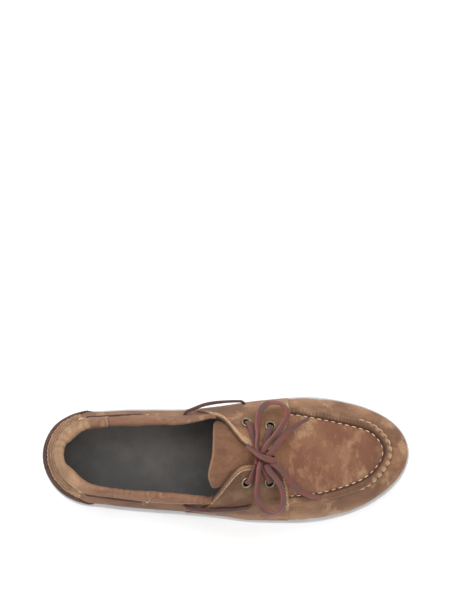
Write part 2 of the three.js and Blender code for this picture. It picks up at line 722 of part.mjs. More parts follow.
// Where each side lace runs along the upper: shares of the length, places up the section, and how far it bows out.
const sideLaces = [
  { name: "side_lace_medial_rear", side: MEDIAL, from: 0.115, to: 0.28, low: 0.5, high: 0.5, bow: 0 },
  { name: "side_lace_medial_front", side: MEDIAL, from: 0.385, to: 0.55, low: 0.5, high: 0.47, bow: 3 },
  { name: "side_lace_lateral_rear", side: LATERAL, from: 0.115, to: 0.28, low: 0.5, high: 0.5, bow: 0 },
  { name: "side_lace_lateral_front", side: LATERAL, from: 0.385, to: 0.565, low: 0.5, high: 0.45, bow: 1 },
];
function sideLace({ side, from, to, low, high, bow }) {
  const points = [0, 0.2, 0.4, 0.6, 0.8, 1].map((t) => {
    const overFlap = smooth(lerp(from, to, t), 0.385, 0.45);
    const lift = laceThickness / 2 + 2 * gap + overFlap * overlay + bow * Math.sin(Math.PI * t);
    return skin(psiAt(side, lerp(from, to, t)), lerp(low, high, t), lift + (from < 0.2 ? 0.4 : 0));
  });
  return cord(points, 12);
}

// The bow: each piece starts at the knot. At and x are shares of the sole's length and width.
const bow = {
  lace_knot: [
    { at: 0.57, x: -0.005, lift: 1.5 }, { at: 0.574, x: 0.055, lift: 1.9 }, { at: 0.598, x: 0.085, lift: 1.9 },
    { at: 0.622, x: 0.08, lift: 1.5 }, { at: 0.63, x: 0.035, lift: 1.6 }, { at: 0.614, x: -0.005, lift: 2 },
    { at: 0.592, x: -0.02, lift: 2 },
  ],
  lace_loop_medial: [
    { at: 0.58, x: -0.047, lift: 1.7 }, { at: 0.582, x: -0.15, lift: 1.8 }, { at: 0.582, x: -0.24, lift: 1.8 },
    { at: 0.59, x: -0.34, lift: 3.2 }, { at: 0.612, x: -0.405, lift: 5.2 }, { at: 0.645, x: -0.395, lift: 5.4 },
    { at: 0.662, x: -0.33, lift: 4 }, { at: 0.652, x: -0.25, lift: 2.6 }, { at: 0.628, x: -0.15, lift: 1.9 },
    { at: 0.603, x: -0.062, lift: 2.2 },
  ],
  lace_loop_lateral: [
    { at: 0.585, x: 0.112, lift: 1.9 }, { at: 0.582, x: 0.2, lift: 2 }, { at: 0.58, x: 0.28, lift: 2.2 },
    { at: 0.586, x: 0.36, lift: 3.8 }, { at: 0.602, x: 0.42, lift: 6.5 }, { at: 0.624, x: 0.44, lift: 8 },
    { at: 0.642, x: 0.41, lift: 6.5 }, { at: 0.65, x: 0.34, lift: 4 }, { at: 0.646, x: 0.26, lift: 2.8 },
    { at: 0.63, x: 0.18, lift: 2.2 }, { at: 0.612, x: 0.119, lift: 1.9 },
  ],
  lace_end_medial: [
    { at: 0.619, x: -0.02, lift: 1.9 }, { at: 0.636, x: -0.09, lift: 2.2 }, { at: 0.652, x: -0.15, lift: 1 },
    { at: 0.668, x: -0.2, lift: 0.6 }, { at: 0.69, x: -0.245, lift: 0.5 }, { at: 0.719, x: -0.29, lift: 0.8 },
  ],
  lace_end_lateral: [
    { at: 0.631, x: 0.082, lift: 1.5 }, { at: 0.652, x: 0.14, lift: 1.4 }, { at: 0.668, x: 0.2, lift: 0.8 },
    { at: 0.69, x: 0.255, lift: 0.5 }, { at: 0.715, x: 0.295, lift: 0.6 }, { at: 0.75, x: 0.318, lift: 1.4 },
  ],
};

add("outsole", outsole(), paints.rubber);
add("insole", insole(), paints.sock);
add("upper", holed(upper(), eyelets), paints.suede);
add("saddle_medial", holed(saddle(MEDIAL), eyelets.slice(0, 2)), paints.suede);
add("saddle_lateral", holed(saddle(LATERAL), eyelets.slice(2)), paints.suede);
add("heel_counter", counter(), paints.counterSuede);
add("back_tab", backTab(), paints.suede);
add("collar", collar(), paints.suede);
add("tongue", tongue(), paints.suede);
for (const where of eyelets) add(where.name, eyelet(where), paints.brass);
add("lace_bars", bars(), paints.rawhide);
for (const lace of sideLaces) add(lace.name, sideLace(lace), paints.rawhide);

// The origin lies under the middle of everything but the bow.
const middle = new THREE.Box3().setFromObject(shoe).getCenter(new THREE.Vector3());
shoe.position.set(-middle.x, -middle.y, 0);

for (const [name, rows] of Object.entries(bow)) add(name, cord(rows.map(overFlaps), 14), paints.rawhide);

export default shoe;
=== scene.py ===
"""A boat shoe for the right foot: fine surfaces, stitching, rawhide lace and finishes over its solids.

Everything is worked out in millimetres on the last, whose sizes repeat the part's own, and put into its
mesh in metres. +Y runs from heel to toe, +X to the outer side of the foot and +Z up.
"""
from __future__ import annotations

import logging
import sys
from dataclasses import dataclass, field
from enum import Enum
from typing import Callable, Sequence

import bmesh
import bpy
import numpy as np
from mathutils import Matrix, Vector

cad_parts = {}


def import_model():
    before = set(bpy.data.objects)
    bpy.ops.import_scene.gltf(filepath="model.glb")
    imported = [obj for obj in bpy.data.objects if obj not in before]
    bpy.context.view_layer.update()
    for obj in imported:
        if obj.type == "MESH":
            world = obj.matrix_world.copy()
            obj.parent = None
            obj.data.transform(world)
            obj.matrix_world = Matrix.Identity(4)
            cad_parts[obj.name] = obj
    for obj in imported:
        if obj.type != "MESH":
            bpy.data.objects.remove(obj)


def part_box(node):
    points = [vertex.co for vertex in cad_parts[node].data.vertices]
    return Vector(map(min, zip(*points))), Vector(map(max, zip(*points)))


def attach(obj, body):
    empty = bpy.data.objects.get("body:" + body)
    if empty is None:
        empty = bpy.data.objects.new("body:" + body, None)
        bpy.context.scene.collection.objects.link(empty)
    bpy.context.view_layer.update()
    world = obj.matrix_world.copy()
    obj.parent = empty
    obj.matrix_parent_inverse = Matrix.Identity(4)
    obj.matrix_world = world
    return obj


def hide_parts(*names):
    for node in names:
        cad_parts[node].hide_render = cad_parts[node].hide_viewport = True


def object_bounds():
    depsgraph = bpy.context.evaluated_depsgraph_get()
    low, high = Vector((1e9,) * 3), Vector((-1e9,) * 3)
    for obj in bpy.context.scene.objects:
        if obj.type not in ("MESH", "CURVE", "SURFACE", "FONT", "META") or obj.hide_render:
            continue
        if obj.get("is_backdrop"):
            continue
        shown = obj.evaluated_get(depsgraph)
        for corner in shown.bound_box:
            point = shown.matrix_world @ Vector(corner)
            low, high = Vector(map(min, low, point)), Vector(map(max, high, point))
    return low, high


log = logging.getLogger("boat_shoe")
Array = np.ndarray
Colour = tuple[float, float, float]
RoutePoint = tuple[float, float, float]

MM = 0.001
ARC = 0.4  # how far up the section each of its two upper arcs reaches
HALVINGS = 34  # steps of a search by halving
NEARINGS = 6  # steps of a search that nears its aim
WELD = 2e-6  # metres within which two points become one
SLIGHT = 1e-3  # a small step round the outline, to read its direction


class Side(Enum):
    """A side of the foot, by the sign of X."""

    LATERAL = 1
    MEDIAL = -1


class Place(float, Enum):
    """Named places up a section of the upper, from the sole to the ridge."""

    FOOT = 0.03
    BULGE = 0.2
    SHOULDER = 0.6
    RIDGE = 1.0


# Maths


def clamp(value: Array, low: float = 0.0, high: float = 1.0) -> Array:
    """Value held between low and high."""
    return np.clip(value, low, high)


def lerp(a: Array, b: Array, t: Array) -> Array:
    """The point a share t of the way from a to b."""
    return a + (b - a) * t


def smooth(value: Array, low: float, high: float) -> Array:
    """The cubic step from 0 at low to 1 at high: t * t * (3 - 2 t)."""
    t = clamp((value - low) / (high - low))
    return t * t * (3 - 2 * t)


def bump(value: Array, centre: float, width: float) -> Array:
    """A bell of height 1 at centre: exp(-(distance / width) squared)."""
    return np.exp(-(((value - centre) / width) ** 2))


def unit(vector: Array) -> Array:
    """Vectors brought to length 1 along their last axis."""
    return vector / np.maximum(np.linalg.norm(vector, axis=-1, keepdims=True), 1e-12)


def waves(points: Array, scale: float, seed: int, count: int = 9) -> Array:
    """Soft noise in space: the mean of plane waves of random direction and phase.

    Args:
        points: positions in millimetres.
        scale: the waves' typical length in millimetres.
        seed: picks the waves.
        count: how many waves are mixed.

    Returns:
        A value of about -1 to 1 for each point.
    """
    rng = np.random.default_rng(seed)
    ways = unit(rng.normal(size=(count, 3))) * rng.uniform(0.6, 1.6, (count, 1)) * 2 * np.pi / scale
    phase = rng.uniform(0, 2 * np.pi, count)
    return np.sin(points @ ways.T + phase).sum(-1) / np.sqrt(count / 2) * 0.5


def share_at(psi: Array) -> Array:
    """The share of the length at an angle round the outline, 0 at the heel and pi at the toe."""
    return (1 - np.cos(psi)) / 2


def distances(path: Array) -> Array:
    """How far along a path each of its points lies."""
    return np.concatenate([[0], np.cumsum(np.linalg.norm(np.diff(path, axis=0), axis=-1))])


def read_rows(data: Array, known: Array, wanted: Array) -> Array:
    """Rows of X, Y and Z, known at some places and read on straight lines between them at others."""
    return np.stack([np.interp(wanted, known, data[:, i]) for i in range(3)], -1)


@dataclass(frozen=True)
class Table:
    """Named columns against a share of the length, read on a smooth curve through the rows."""

    names: tuple[str, ...]
    rows: tuple[tuple[float, ...], ...]

    def read(self, name: str, at: Array) -> Array:
        """Cubic Hermite through the rows, with the slope of its neighbours at each row.

        Args:
            name: the column.
            at: shares of the length.

        Returns:
            The column's value at each share, held past the ends.
        """
        data = np.array(self.rows)
        x, y = data[:, 0], data[:, 1 + self.names.index(name)]
        k = np.arange(len(x))
        before, after = np.maximum(k - 1, 0), np.minimum(k + 1, len(x) - 1)
        slope = (y[after] - y[before]) / (x[after] - x[before])
        a = clamp(np.asarray(at, float), x[0], x[-1])
        i = clamp(np.searchsorted(x, a, side="right") - 1, 0, len(x) - 2).astype(int)
        span = x[i + 1] - x[i]
        t = (a - x[i]) / span
        r = 1 - t
        low = y[i] * (1 + 2 * t) + slope[i] * span * t
        high = y[i + 1] * (1 + 2 * r) - slope[i + 1] * span * r
        return low * r * r + high * t * t


def bezier(a: Array, b: Array, c: Array, d: Array, t: Array) -> Array:
    """A cubic Bezier's point: a r3 + 3 b t r2 + 3 c t2 r + d t3, with r = 1 - t.

    Args:
        a: where the curve starts.
        b: its first handle.
        c: its second handle.
        d: where it ends.
        t: shares along the curve.

    Returns:
        A point for each share.
    """
    t = t[..., None]
    r = 1 - t
    return a * r**3 + 3 * b * t * r**2 + 3 * c * t**2 * r + d * t**3


# The last


@dataclass(frozen=True)
class Sections:
    """Sections of the upper: where each starts in plan, its way inwards and its anchor points."""

    at: Array
    foot: Array
    inward: Array
    reach: Array
    feather: Array
    bulge: Array
    shoulder: Array
    ridge: Array
    arrive: Array
    leave: Array


@dataclass
class Last:
    """The form that every piece follows: the sole's plan, its heights and the upper's sections."""

    sole_length: float = 292
    sole_width: float = 101
    heel_width: float = 76.5
    heel_round: float = 40
    toe_round: float = 90
    heel_thickness: float = 20
    fore_thickness: float = 9.5
    toe_spring: float = 6
    arch_lift: float = 2.5
    lip: float = 1.3
    wall: float = 2
    overlay: float = 1.8
    gap: float = 0.3
    bulge_rise: float = 20
    edge_rise: float = 41
    instep_rise: float = 78
    feather_inset: float = 3
    bulge_inset: float = 1.0
    lateral_lean: float = 0.19
    heel_pivot: float = 40
    toe_pivot: float = 46
    pivot_blend: float = 12
    shift: Array = field(default_factory=lambda: np.zeros(3))

    plan: Table = Table(
        ("spread", "centre"),
        (
            (0, 0, -0.02),
            (0.137, 0, -0.004),
            (0.24, 0.19, 0.006),
            (0.4, 0.35, 0.02),
            (0.485, 0.56, 0.019),
            (0.567, 0.83, 0.014),
            (0.69, 1, 0),
            (0.85, 1, -0.018),
            (1, 1, -0.052),
        ),
    )
    sections: Table = Table(
        ("bulge", "inset", "shoulder", "ridge", "arrive", "leave"),
        (
            (0, 1, 0.11, 1, 1.2, 66, 66),
            (0.1, 0.85, 0.082, 0.93, 1.17, 72, 72),
            (0.25, 0.68, 0.073, 0.79, 1.1, 74, 74),
            (0.36, 0.68, 0.074, 0.82, 1.03, 70, 70),
            (0.455, 0.68, 0.088, 1.04, 1, 62, 62),
            (0.515, 0.65, 0.103, 1.18, 0.93, 56, 54),
            (0.56, 0.62, 0.112, 1.21, 0.865, 54, 48),
            (0.62, 0.6, 0.118, 1.2, 0.77, 54, 40),
            (0.68, 0.6, 0.1265, 1.13, 0.685, 56, 31),
            (0.74, 0.6, 0.1525, 1.05, 0.61, 58, 25),
            (0.82, 0.6, 0.165, 0.94, 0.54, 60, 19),
            (0.92, 0.62, 0.1475, 0.81, 0.5, 60, 15),
            (1, 0.65, 0.1765, 0.71, 0.5, 58, 14),
        ),
    )
    opening: Table = Table(
        ("medial", "lateral"),
        (
            (0.455, 1, 1),
            (0.476, 0.96, 0.82),
            (0.496, 0.84, 0.6),
            (0.517, 0.6, 0.37),
            (0.537, 0.38, 0.22),
            (0.557, 0.25, 0.18),
            (0.585, 0.2, 0.18),
            (0.608, 0.14, 0.14),
            (0.62, 0.06, 0.06),
            (0.629, 0, 0),
        ),
    )

    def half_width(self, at: Array) -> Array:
        """Half the sole's width: the table's width between two quarter ellipses sqrt(1 - (1 - t)^2).

        Args:
            at: shares of the length.

        Returns:
            Half the width at each share.
        """
        half = lerp(self.heel_width, self.sole_width, self.plan.read("spread", at)) / 2
        heel = clamp(at * self.sole_length / self.heel_round)
        toe = clamp((1 - at) * self.sole_length / self.toe_round)
        return half * np.sqrt((1 - (1 - heel) ** 2) * (1 - (1 - toe) ** 2))

    def centre_x(self, at: Array) -> Array:
        """X of the plan's centre line."""
        return self.plan.read("centre", at) * self.sole_width

    def along_y(self, at: Array) -> Array:
        """Y at a share of the length."""
        return (np.asarray(at) - 0.5) * self.sole_length

    def share_of(self, y: Array) -> Array:
        """The share of the length at Y."""
        return y / self.sole_length + 0.5

    def toe_lift(self, at: Array) -> Array:
        """How far the toe springs up: a parabola over the front of the sole."""
        return self.toe_spring * clamp((at - 0.74) / 0.26) ** 2

    def seat(self, at: Array) -> Array:
        """Height of the sole's top."""
        return lerp(self.heel_thickness, self.fore_thickness, smooth(at, 0.2, 0.66)) + self.toe_lift(at)

    def underside(self, at: Array) -> Array:
        """Height of the sole's underside."""
        arch = smooth(at, 0.26, 0.36) * (1 - smooth(at, 0.42, 0.54))
        return self.arch_lift * arch + self.toe_lift(at)

    def outline(self, psi: Array) -> Array:
        """The sole's outline in plan: at = (1 - cos psi) / 2, lateral for sin psi >= 0.

        Args:
            psi: angles round the outline.

        Returns:
            X and Y of each point.
        """
        at = share_at(psi)
        side = np.where(np.sin(psi) >= 0, 1.0, -1.0)
        return np.stack([self.centre_x(at) + side * self.half_width(at), self.along_y(at)], -1)

    def inset_point(self, psi: Array, inset: float | Array) -> Array:
        """A point inside the outline, at an inset square to it.

        Args:
            psi: angles round the outline.
            inset: how far inside.

        Returns:
            X and Y of each point.
        """
        along = unit(self.outline(psi + SLIGHT) - self.outline(psi - SLIGHT))
        square = np.stack([-along[..., 1], along[..., 0]], -1)
        return self.outline(psi) + square * np.asarray(inset)[..., None]

    def psi_at(self, side: Side, at: Array) -> Array:
        """The angle round the outline at a share of the length on one side."""
        return side.value * np.arccos(1 - 2 * clamp(np.asarray(at, float)))

    def spine(self, at: Array) -> tuple[Array, Array]:
        """The spine's share of the length for a section, held between the pivots, and its plan position.

        Args:
            at: shares of the length where sections start.

        Returns:
            The shares and the plan positions.
        """

        def ease(over: Array) -> Array:
            """What is over a limit, blended in by a parabola.

            Args:
                over: how far past the limit.

            Returns:
                0 well below the limit, over well above it.
            """
            blend = self.pivot_blend
            part = (over + blend) ** 2 / (4 * blend)
            return np.where(over <= -blend, 0, np.where(over >= blend, over, part))

        front = self.sole_length - self.toe_pivot
        held = self.heel_pivot + ease(at * self.sole_length - self.heel_pivot)
        share = (front - ease(front - held)) / self.sole_length
        return share, np.stack([self.centre_x(share), self.along_y(share)], -1)

    def section(self, psi: Array) -> Sections:
        """The upper's sections at angles round the outline.

        Args:
            psi: angles round the outline.

        Returns:
            The sections, one for each angle.
        """
        foot = self.inset_point(psi, self.lip)
        at = share_at(psi)
        spine_at, spine = self.spine(at)
        inward = spine - foot
        reach = np.linalg.norm(inward, axis=-1)
        base = self.seat(self.share_of(foot[..., 1])) + self.gap
        table = self.sections.read
        leaning = self.lateral_lean * smooth(at, 0.5, 0.62) * (1 - smooth(at, 0.66, 0.76))
        lean = np.where(np.sin(psi) > 0, leaning, 0)
        pair = lambda x, y: np.stack(np.broadcast_arrays(x, y), -1)
        return Sections(
            at,
            foot,
            unit(inward),
            reach,
            pair(self.feather_inset, base),
            pair(self.bulge_inset, base + self.bulge_rise * table("bulge", at)),
            pair(
                self.sole_width * table("inset", at) * (1 + lean),
                base + self.edge_rise * table("shoulder", at),
            ),
            pair(reach, self.seat(spine_at) + self.gap + self.instep_rise * table("ridge", spine_at)),
            np.radians(table("arrive", at)),
            np.radians(table("leave", at)),
        )

    def profile(self, s: Sections, v: Array) -> Array:
        """Points of sections as (inset, height): three Bezier arcs, sole to bulge, to shoulder, to ridge.

        Args:
            s: the sections.
            v: places up the sections.

        Returns:
            The inset and the height of each point.
        """
        flat = lambda x, y: np.stack([x, y], -1)
        rise = s.bulge[..., 1] - s.feather[..., 1]
        low = bezier(
            s.feather,
            flat(s.feather[..., 0] * 0.6, s.feather[..., 1] + rise * 0.28),
            flat(s.bulge[..., 0], s.bulge[..., 1] - rise * 0.5),
            s.bulge,
            clamp(v / Place.BULGE),
        )
        hand = 0.38 * np.linalg.norm(s.shoulder - s.bulge, axis=-1)
        middle = bezier(
            s.bulge,
            flat(s.bulge[..., 0], s.bulge[..., 1] + hand),
            s.shoulder - flat(hand * np.cos(s.arrive), hand * np.sin(s.arrive)),
            s.shoulder,
            clamp((v - Place.BULGE) / ARC),
        )
        hand = 0.38 * np.linalg.norm(s.ridge - s.shoulder, axis=-1)
        high = bezier(
            s.shoulder,
            s.shoulder + flat(hand * np.cos(s.leave), hand * np.sin(s.leave)),
            flat(s.ridge[..., 0] - hand, s.ridge[..., 1]),
            s.ridge,
            clamp((v - Place.SHOULDER) / ARC),
        )
        v = v[..., None]
        return np.where(v <= Place.BULGE, low, np.where(v <= Place.SHOULDER, middle, high))

    def bare(self, psi: Array, v: Array) -> Array:
        """The upper's outer surface with nothing on it: foot + inward * inset, at the profile's height.

        Args:
            psi: angles round the outline.
            v: places up the sections.

        Returns:
            Points in millimetres.
        """
        psi, v = np.broadcast_arrays(np.asarray(psi, float), np.asarray(v, float))
        s = self.section(psi)
        p = self.profile(s, v)
        return np.concatenate([s.foot + s.inward * p[..., :1], p[..., 1:]], -1)

    def facing(self, psi: Array, v: Array) -> Array:
        """Outward direction of the upper: the cross product of its two tangents.

        Args:
            psi: angles round the outline.
            v: places up the sections.

        Returns:
            Unit vectors; near the ridge they turn to the ridge's own.
        """
        psi, v = np.broadcast_arrays(np.asarray(psi, float), np.asarray(v, float))
        held = clamp(v, 0.01, 0.985)
        round_ = self.bare(psi + SLIGHT, held) - self.bare(psi - SLIGHT, held)
        up = self.bare(psi, held + 0.01) - self.bare(psi, held - 0.01)
        normal = unit(np.cross(round_, up))
        spine_at, _ = self.spine(share_at(psi))
        top = lambda a: self.seat(a) + self.instep_rise * self.sections.read("ridge", a)
        slope = (top(spine_at + 0.004) - top(spine_at - 0.004)) / (0.008 * self.sole_length)
        over = unit(np.stack([np.zeros_like(slope), -slope, np.ones_like(slope)], -1))
        share = smooth(v, 0.97, 1.0)[..., None]
        return unit(normal * (1 - share) + over * share)

    def skin(self, psi: Array, v: Array, lift: float | Array = 0.0) -> Array:
        """The upper's outer surface, lifted along its outward direction."""
        return self.bare(psi, v) + self.facing(psi, v) * np.asarray(lift)[..., None]

    def place_at_reach(self, psi: Array, from_ridge: Array) -> Array:
        """The place up a section that lies at a distance from the ridge in plan, found by halving.

        Args:
            psi: angles round the outline.
            from_ridge: distances from the ridge.

        Returns:
            Places up the sections.
        """
        psi, from_ridge = np.broadcast_arrays(np.asarray(psi, float), np.asarray(from_ridge, float))
        s = self.section(psi)
        low, high = np.full(psi.shape, float(Place.BULGE)), np.full(psi.shape, float(Place.RIDGE))
        for _ in range(HALVINGS):
            middle = (low + high) / 2
            outside = s.reach - self.profile(s, middle)[..., 0] > from_ridge
            low, high = np.where(outside, middle, low), np.where(outside, high, middle)
        return high

    def edge_place(self, psi: Array) -> Array:
        """How far up its section the upper's edge lies: the shoulder, the throat's edge, or the ridge.

        Args:
            psi: angles round the outline.

        Returns:
            Places up the sections.
        """
        s = self.section(psi)
        lateral, medial = (self.opening.read(side.name.lower(), s.at) for side in Side)
        share = np.where(np.sin(psi) > 0, lateral, medial)
        open_ = self.place_at_reach(psi, share * (s.reach - s.shoulder[..., 0]))
        start, end = self.opening.rows[0][0], self.opening.rows[-1][0]
        front = np.where(s.at >= end, float(Place.RIDGE), np.maximum(open_, Place.SHOULDER))
        return np.where(s.at <= start, float(Place.SHOULDER), front)

    def under(self, x: Array, y: Array) -> tuple[Array, Array]:
        """The angle and the place up the section of the upper's point that lies under a plan point.

        Args:
            x: X of the plan points.
            y: Y of the plan points.

        Returns:
            The angles and the places.
        """
        share = self.share_of(y)
        side = np.where(x >= self.centre_x(share), 1.0, -1.0)
        for _ in range(NEARINGS):
            psi = side * np.arccos(1 - 2 * share)
            _, spine = self.spine(share_at(psi))
            v = self.place_at_reach(psi, np.hypot(x - spine[..., 0], y - spine[..., 1]))
            share = share + (y - self.bare(psi, v)[..., 1]) / self.sole_length
        return psi, v

    def arcs(self, psi: Array) -> tuple[Array, Array]:
        """Straight lengths of a section's two upper arcs, below and above the shoulder."""
        s = self.section(psi)
        return np.linalg.norm(s.shoulder - s.bulge, axis=-1), np.linalg.norm(s.ridge - s.shoulder, axis=-1)

    def run_from_shoulder(self, psi: Array, v: Array) -> Array:
        """Distance along the section from the shoulder: below it negative, on the plug's side positive."""
        below, above = self.arcs(psi)
        return (v - Place.SHOULDER) / ARC * np.where(v < Place.SHOULDER, below, above)

    def place_off_shoulder(self, psi: Array, run: Array) -> Array:
        """The place up a section at a distance along it from the shoulder."""
        below, above = self.arcs(psi)
        return Place.SHOULDER + ARC * np.where(np.asarray(run) < 0, run / below, run / above)


# Meshes


class Fabricator:
    """Puts worked-out points into meshes, in metres and in the solids' own frame."""

    def __init__(self, last: Last) -> None:
        """Keeps the last, whose shift brings its points into the frame."""
        self.last = last

    def mesh(
        self,
        name: str,
        points: Array,
        faces: Array | list[list[int]],
        values: dict[str, Array] | None = None,
        weld: bool = False,
    ) -> bpy.types.Object:
        """A smooth-shaded object from points in millimetres.

        Args:
            name: the piece's name.
            points: an array of positions, its last axis X, Y, Z.
            faces: rows of corner numbers, four or three each.
            values: numbers for each vertex that the finishes read, by name.
            weld: whether points in the same place are joined and empty faces dropped.

        Returns:
            The new object, standing at the origin.
        """
        data = bpy.data.meshes.new(name)
        places = (points.reshape(-1, 3) + self.last.shift) * MM
        corners = faces.tolist() if isinstance(faces, np.ndarray) else faces
        data.from_pydata(places.tolist(), [], corners)
        for key, numbers in (values or {}).items():
            layer = data.attributes.new(key, "FLOAT", "POINT")
            layer.data.foreach_set("value", np.ascontiguousarray(numbers.reshape(-1), np.float32))
        if weld:
            work = bmesh.new()
            work.from_mesh(data)
            bmesh.ops.remove_doubles(work, verts=work.verts, dist=WELD)
            bmesh.ops.dissolve_degenerate(work, edges=work.edges, dist=WELD / 2)
            bmesh.ops.recalc_face_normals(work, faces=work.faces)
            work.to_mesh(data)
            work.free()
        data.update()
        data.shade_smooth()
        obj = bpy.data.objects.new(name, data)
        bpy.context.scene.collection.objects.link(obj)
        return obj

    @staticmethod
    def quads(rows: int, columns: int, wrap_rows: bool, wrap_columns: bool) -> Array:
        """Corner numbers of a grid's cells, going round where an axis wraps.

        Args:
            rows: how many points one way.
            columns: how many the other way.
            wrap_rows: whether the rows close up.
            wrap_columns: whether the columns do.

        Returns:
            Four numbers for each cell.
        """
        i = np.arange(rows if wrap_rows else rows - 1)[:, None]
        k = np.arange(columns if wrap_columns else columns - 1)[None, :]
        i2, k2 = (i + 1) % rows, (k + 1) % columns
        cells = [i * columns + k, i2 * columns + k, i2 * columns + k2, i * columns + k2]
        return np.stack(np.broadcast_arrays(*cells), -1).reshape(-1, 4)

    def loft(self, name: str, loops: Array, values: dict[str, Array] | None = None) -> bpy.types.Object:
        """A body whose closed sections follow one another, capped by fans at its ends.

        Args:
            name: the piece's name.
            loops: the sections, one closed row of points each.
            values: numbers for each point of the sections, by name.

        Returns:
            The closed body.
        """
        n, k, _ = loops.shape
        points = np.concatenate([loops.reshape(-1, 3), loops[[0, -1]].mean(1)])
        a = np.arange(k)
        b = (a + 1) % k
        tail = (n - 1) * k
        caps = [
            np.stack([b, a, np.full(k, n * k)], -1),
            np.stack([tail + a, tail + b, np.full(k, n * k + 1)], -1),
        ]
        faces = self.quads(n, k, False, True)[:, ::-1].tolist() + np.concatenate(caps).tolist()
        padded = {key: np.append(numbers.reshape(-1), [0, 0]) for key, numbers in (values or {}).items()}
        obj = self.mesh(name, points, faces, padded)
        work = bmesh.new()
        work.from_mesh(obj.data)
        bmesh.ops.recalc_face_normals(work, faces=work.faces)
        work.to_mesh(obj.data)
        work.free()
        return obj

    def shell(
        self, name: str, top: Array, bottom: Array, values: dict[str, Array] | None = None
    ) -> bpy.types.Object:
        """A sheet with thickness from two grids of the same size, closed round its edge.

        Args:
            name: the piece's name.
            top: the outer face's grid.
            bottom: the inner face's grid.
            values: numbers for each point of a grid that the finishes read, by name.

        Returns:
            The closed sheet.
        """
        n, m, _ = top.shape
        number = np.arange(n * m).reshape(n, m)
        cells = self.quads(n, m, False, False)
        round_ = np.concatenate([number[:-1, 0], number[-1, :-1], number[:0:-1, -1], number[0, :0:-1]])
        after = np.roll(round_, -1)
        wall = np.stack([after, round_, round_ + n * m, after + n * m], -1)
        points = np.concatenate([top.reshape(-1, 3), bottom.reshape(-1, 3)])
        both = {key: np.concatenate([part.reshape(-1)] * 2) for key, part in (values or {}).items()}
        return self.mesh(name, points, np.concatenate([cells, cells[:, ::-1] + n * m, wall]), both, weld=True)


@dataclass
class Strand:
    """A strip carried along a path: its section is a superellipse, its broad side faces the up vector."""

    width: float
    thickness: float
    sides: int = 14
    squareness: float = 3.2

    def sweep(self, path: Array, up: Array, taper: float = 0.0) -> Array:
        """Sections along a path: centre + across * w/2 * cos^(2/n) + over * t/2 * sin^(2/n).

        Args:
            path: the centre line.
            up: for each of its points, the way the strip's flat side faces.
            taper: how much thinner the far end is, as a share.

        Returns:
            Closed loops, one for each point of the path.
        """
        along = unit(np.gradient(path, axis=0))
        over = unit(up - along * (up * along).sum(-1, keepdims=True))
        across = np.cross(along, over)
        a = np.linspace(0, 2 * np.pi, self.sides, endpoint=False)
        power = 2 / self.squareness
        c = np.sign(np.cos(a)) * np.abs(np.cos(a)) ** power * self.width / 2
        s = np.sign(np.sin(a)) * np.abs(np.sin(a)) ** power * self.thickness / 2
        t = np.linspace(0, 1, len(path))[:, None, None]
        size = 1 - taper * smooth(t, 0.5, 1)
        return path[:, None] + (across[:, None] * c[None, :, None] + over[:, None] * s[None, :, None]) * size


def through(points: Array, count: int) -> Array:
    """A smooth path through points: centripetal Catmull-Rom, evenly spaced along its length.

    Args:
        points: the points to pass through.
        count: how many points to return.

    Returns:
        Points at even distances along the curve.
    """
    points = np.asarray(points, float)
    ends = [2 * points[0] - points[1], *points, 2 * points[-1] - points[-2]]
    p = np.array(ends)
    steps = np.linalg.norm(np.diff(p, axis=0), axis=-1)
    knots = np.concatenate([[0], np.cumsum(np.maximum(steps, 1e-6) ** 0.5)])
    out = []
    for i in range(1, len(p) - 2):
        t = np.linspace(knots[i], knots[i + 1], 40, endpoint=False)[:, None]
        mix = lambda a, b, ta, tb: a * (tb - t) / (tb - ta) + b * (t - ta) / (tb - ta)
        a1 = mix(p[i - 1], p[i], knots[i - 1], knots[i])
        a2 = mix(p[i], p[i + 1], knots[i], knots[i + 1])
        a3 = mix(p[i + 1], p[i + 2], knots[i + 1], knots[i + 2])
        b1 = mix(a1, a2, knots[i - 1], knots[i + 1])
        b2 = mix(a2, a3, knots[i], knots[i + 2])
        out.append(mix(b1, b2, knots[i], knots[i + 1]))
    dense = np.concatenate([*out, p[-2:-1]])
    run = distances(dense)
    return read_rows(dense, run, np.linspace(0, run[-1], count))


def length_of(path: Array) -> float:
    """The length of a path."""
    return float(np.linalg.norm(np.diff(path, axis=0), axis=-1).sum())


# Finishes


Value = bpy.types.NodeSocket | float | Colour


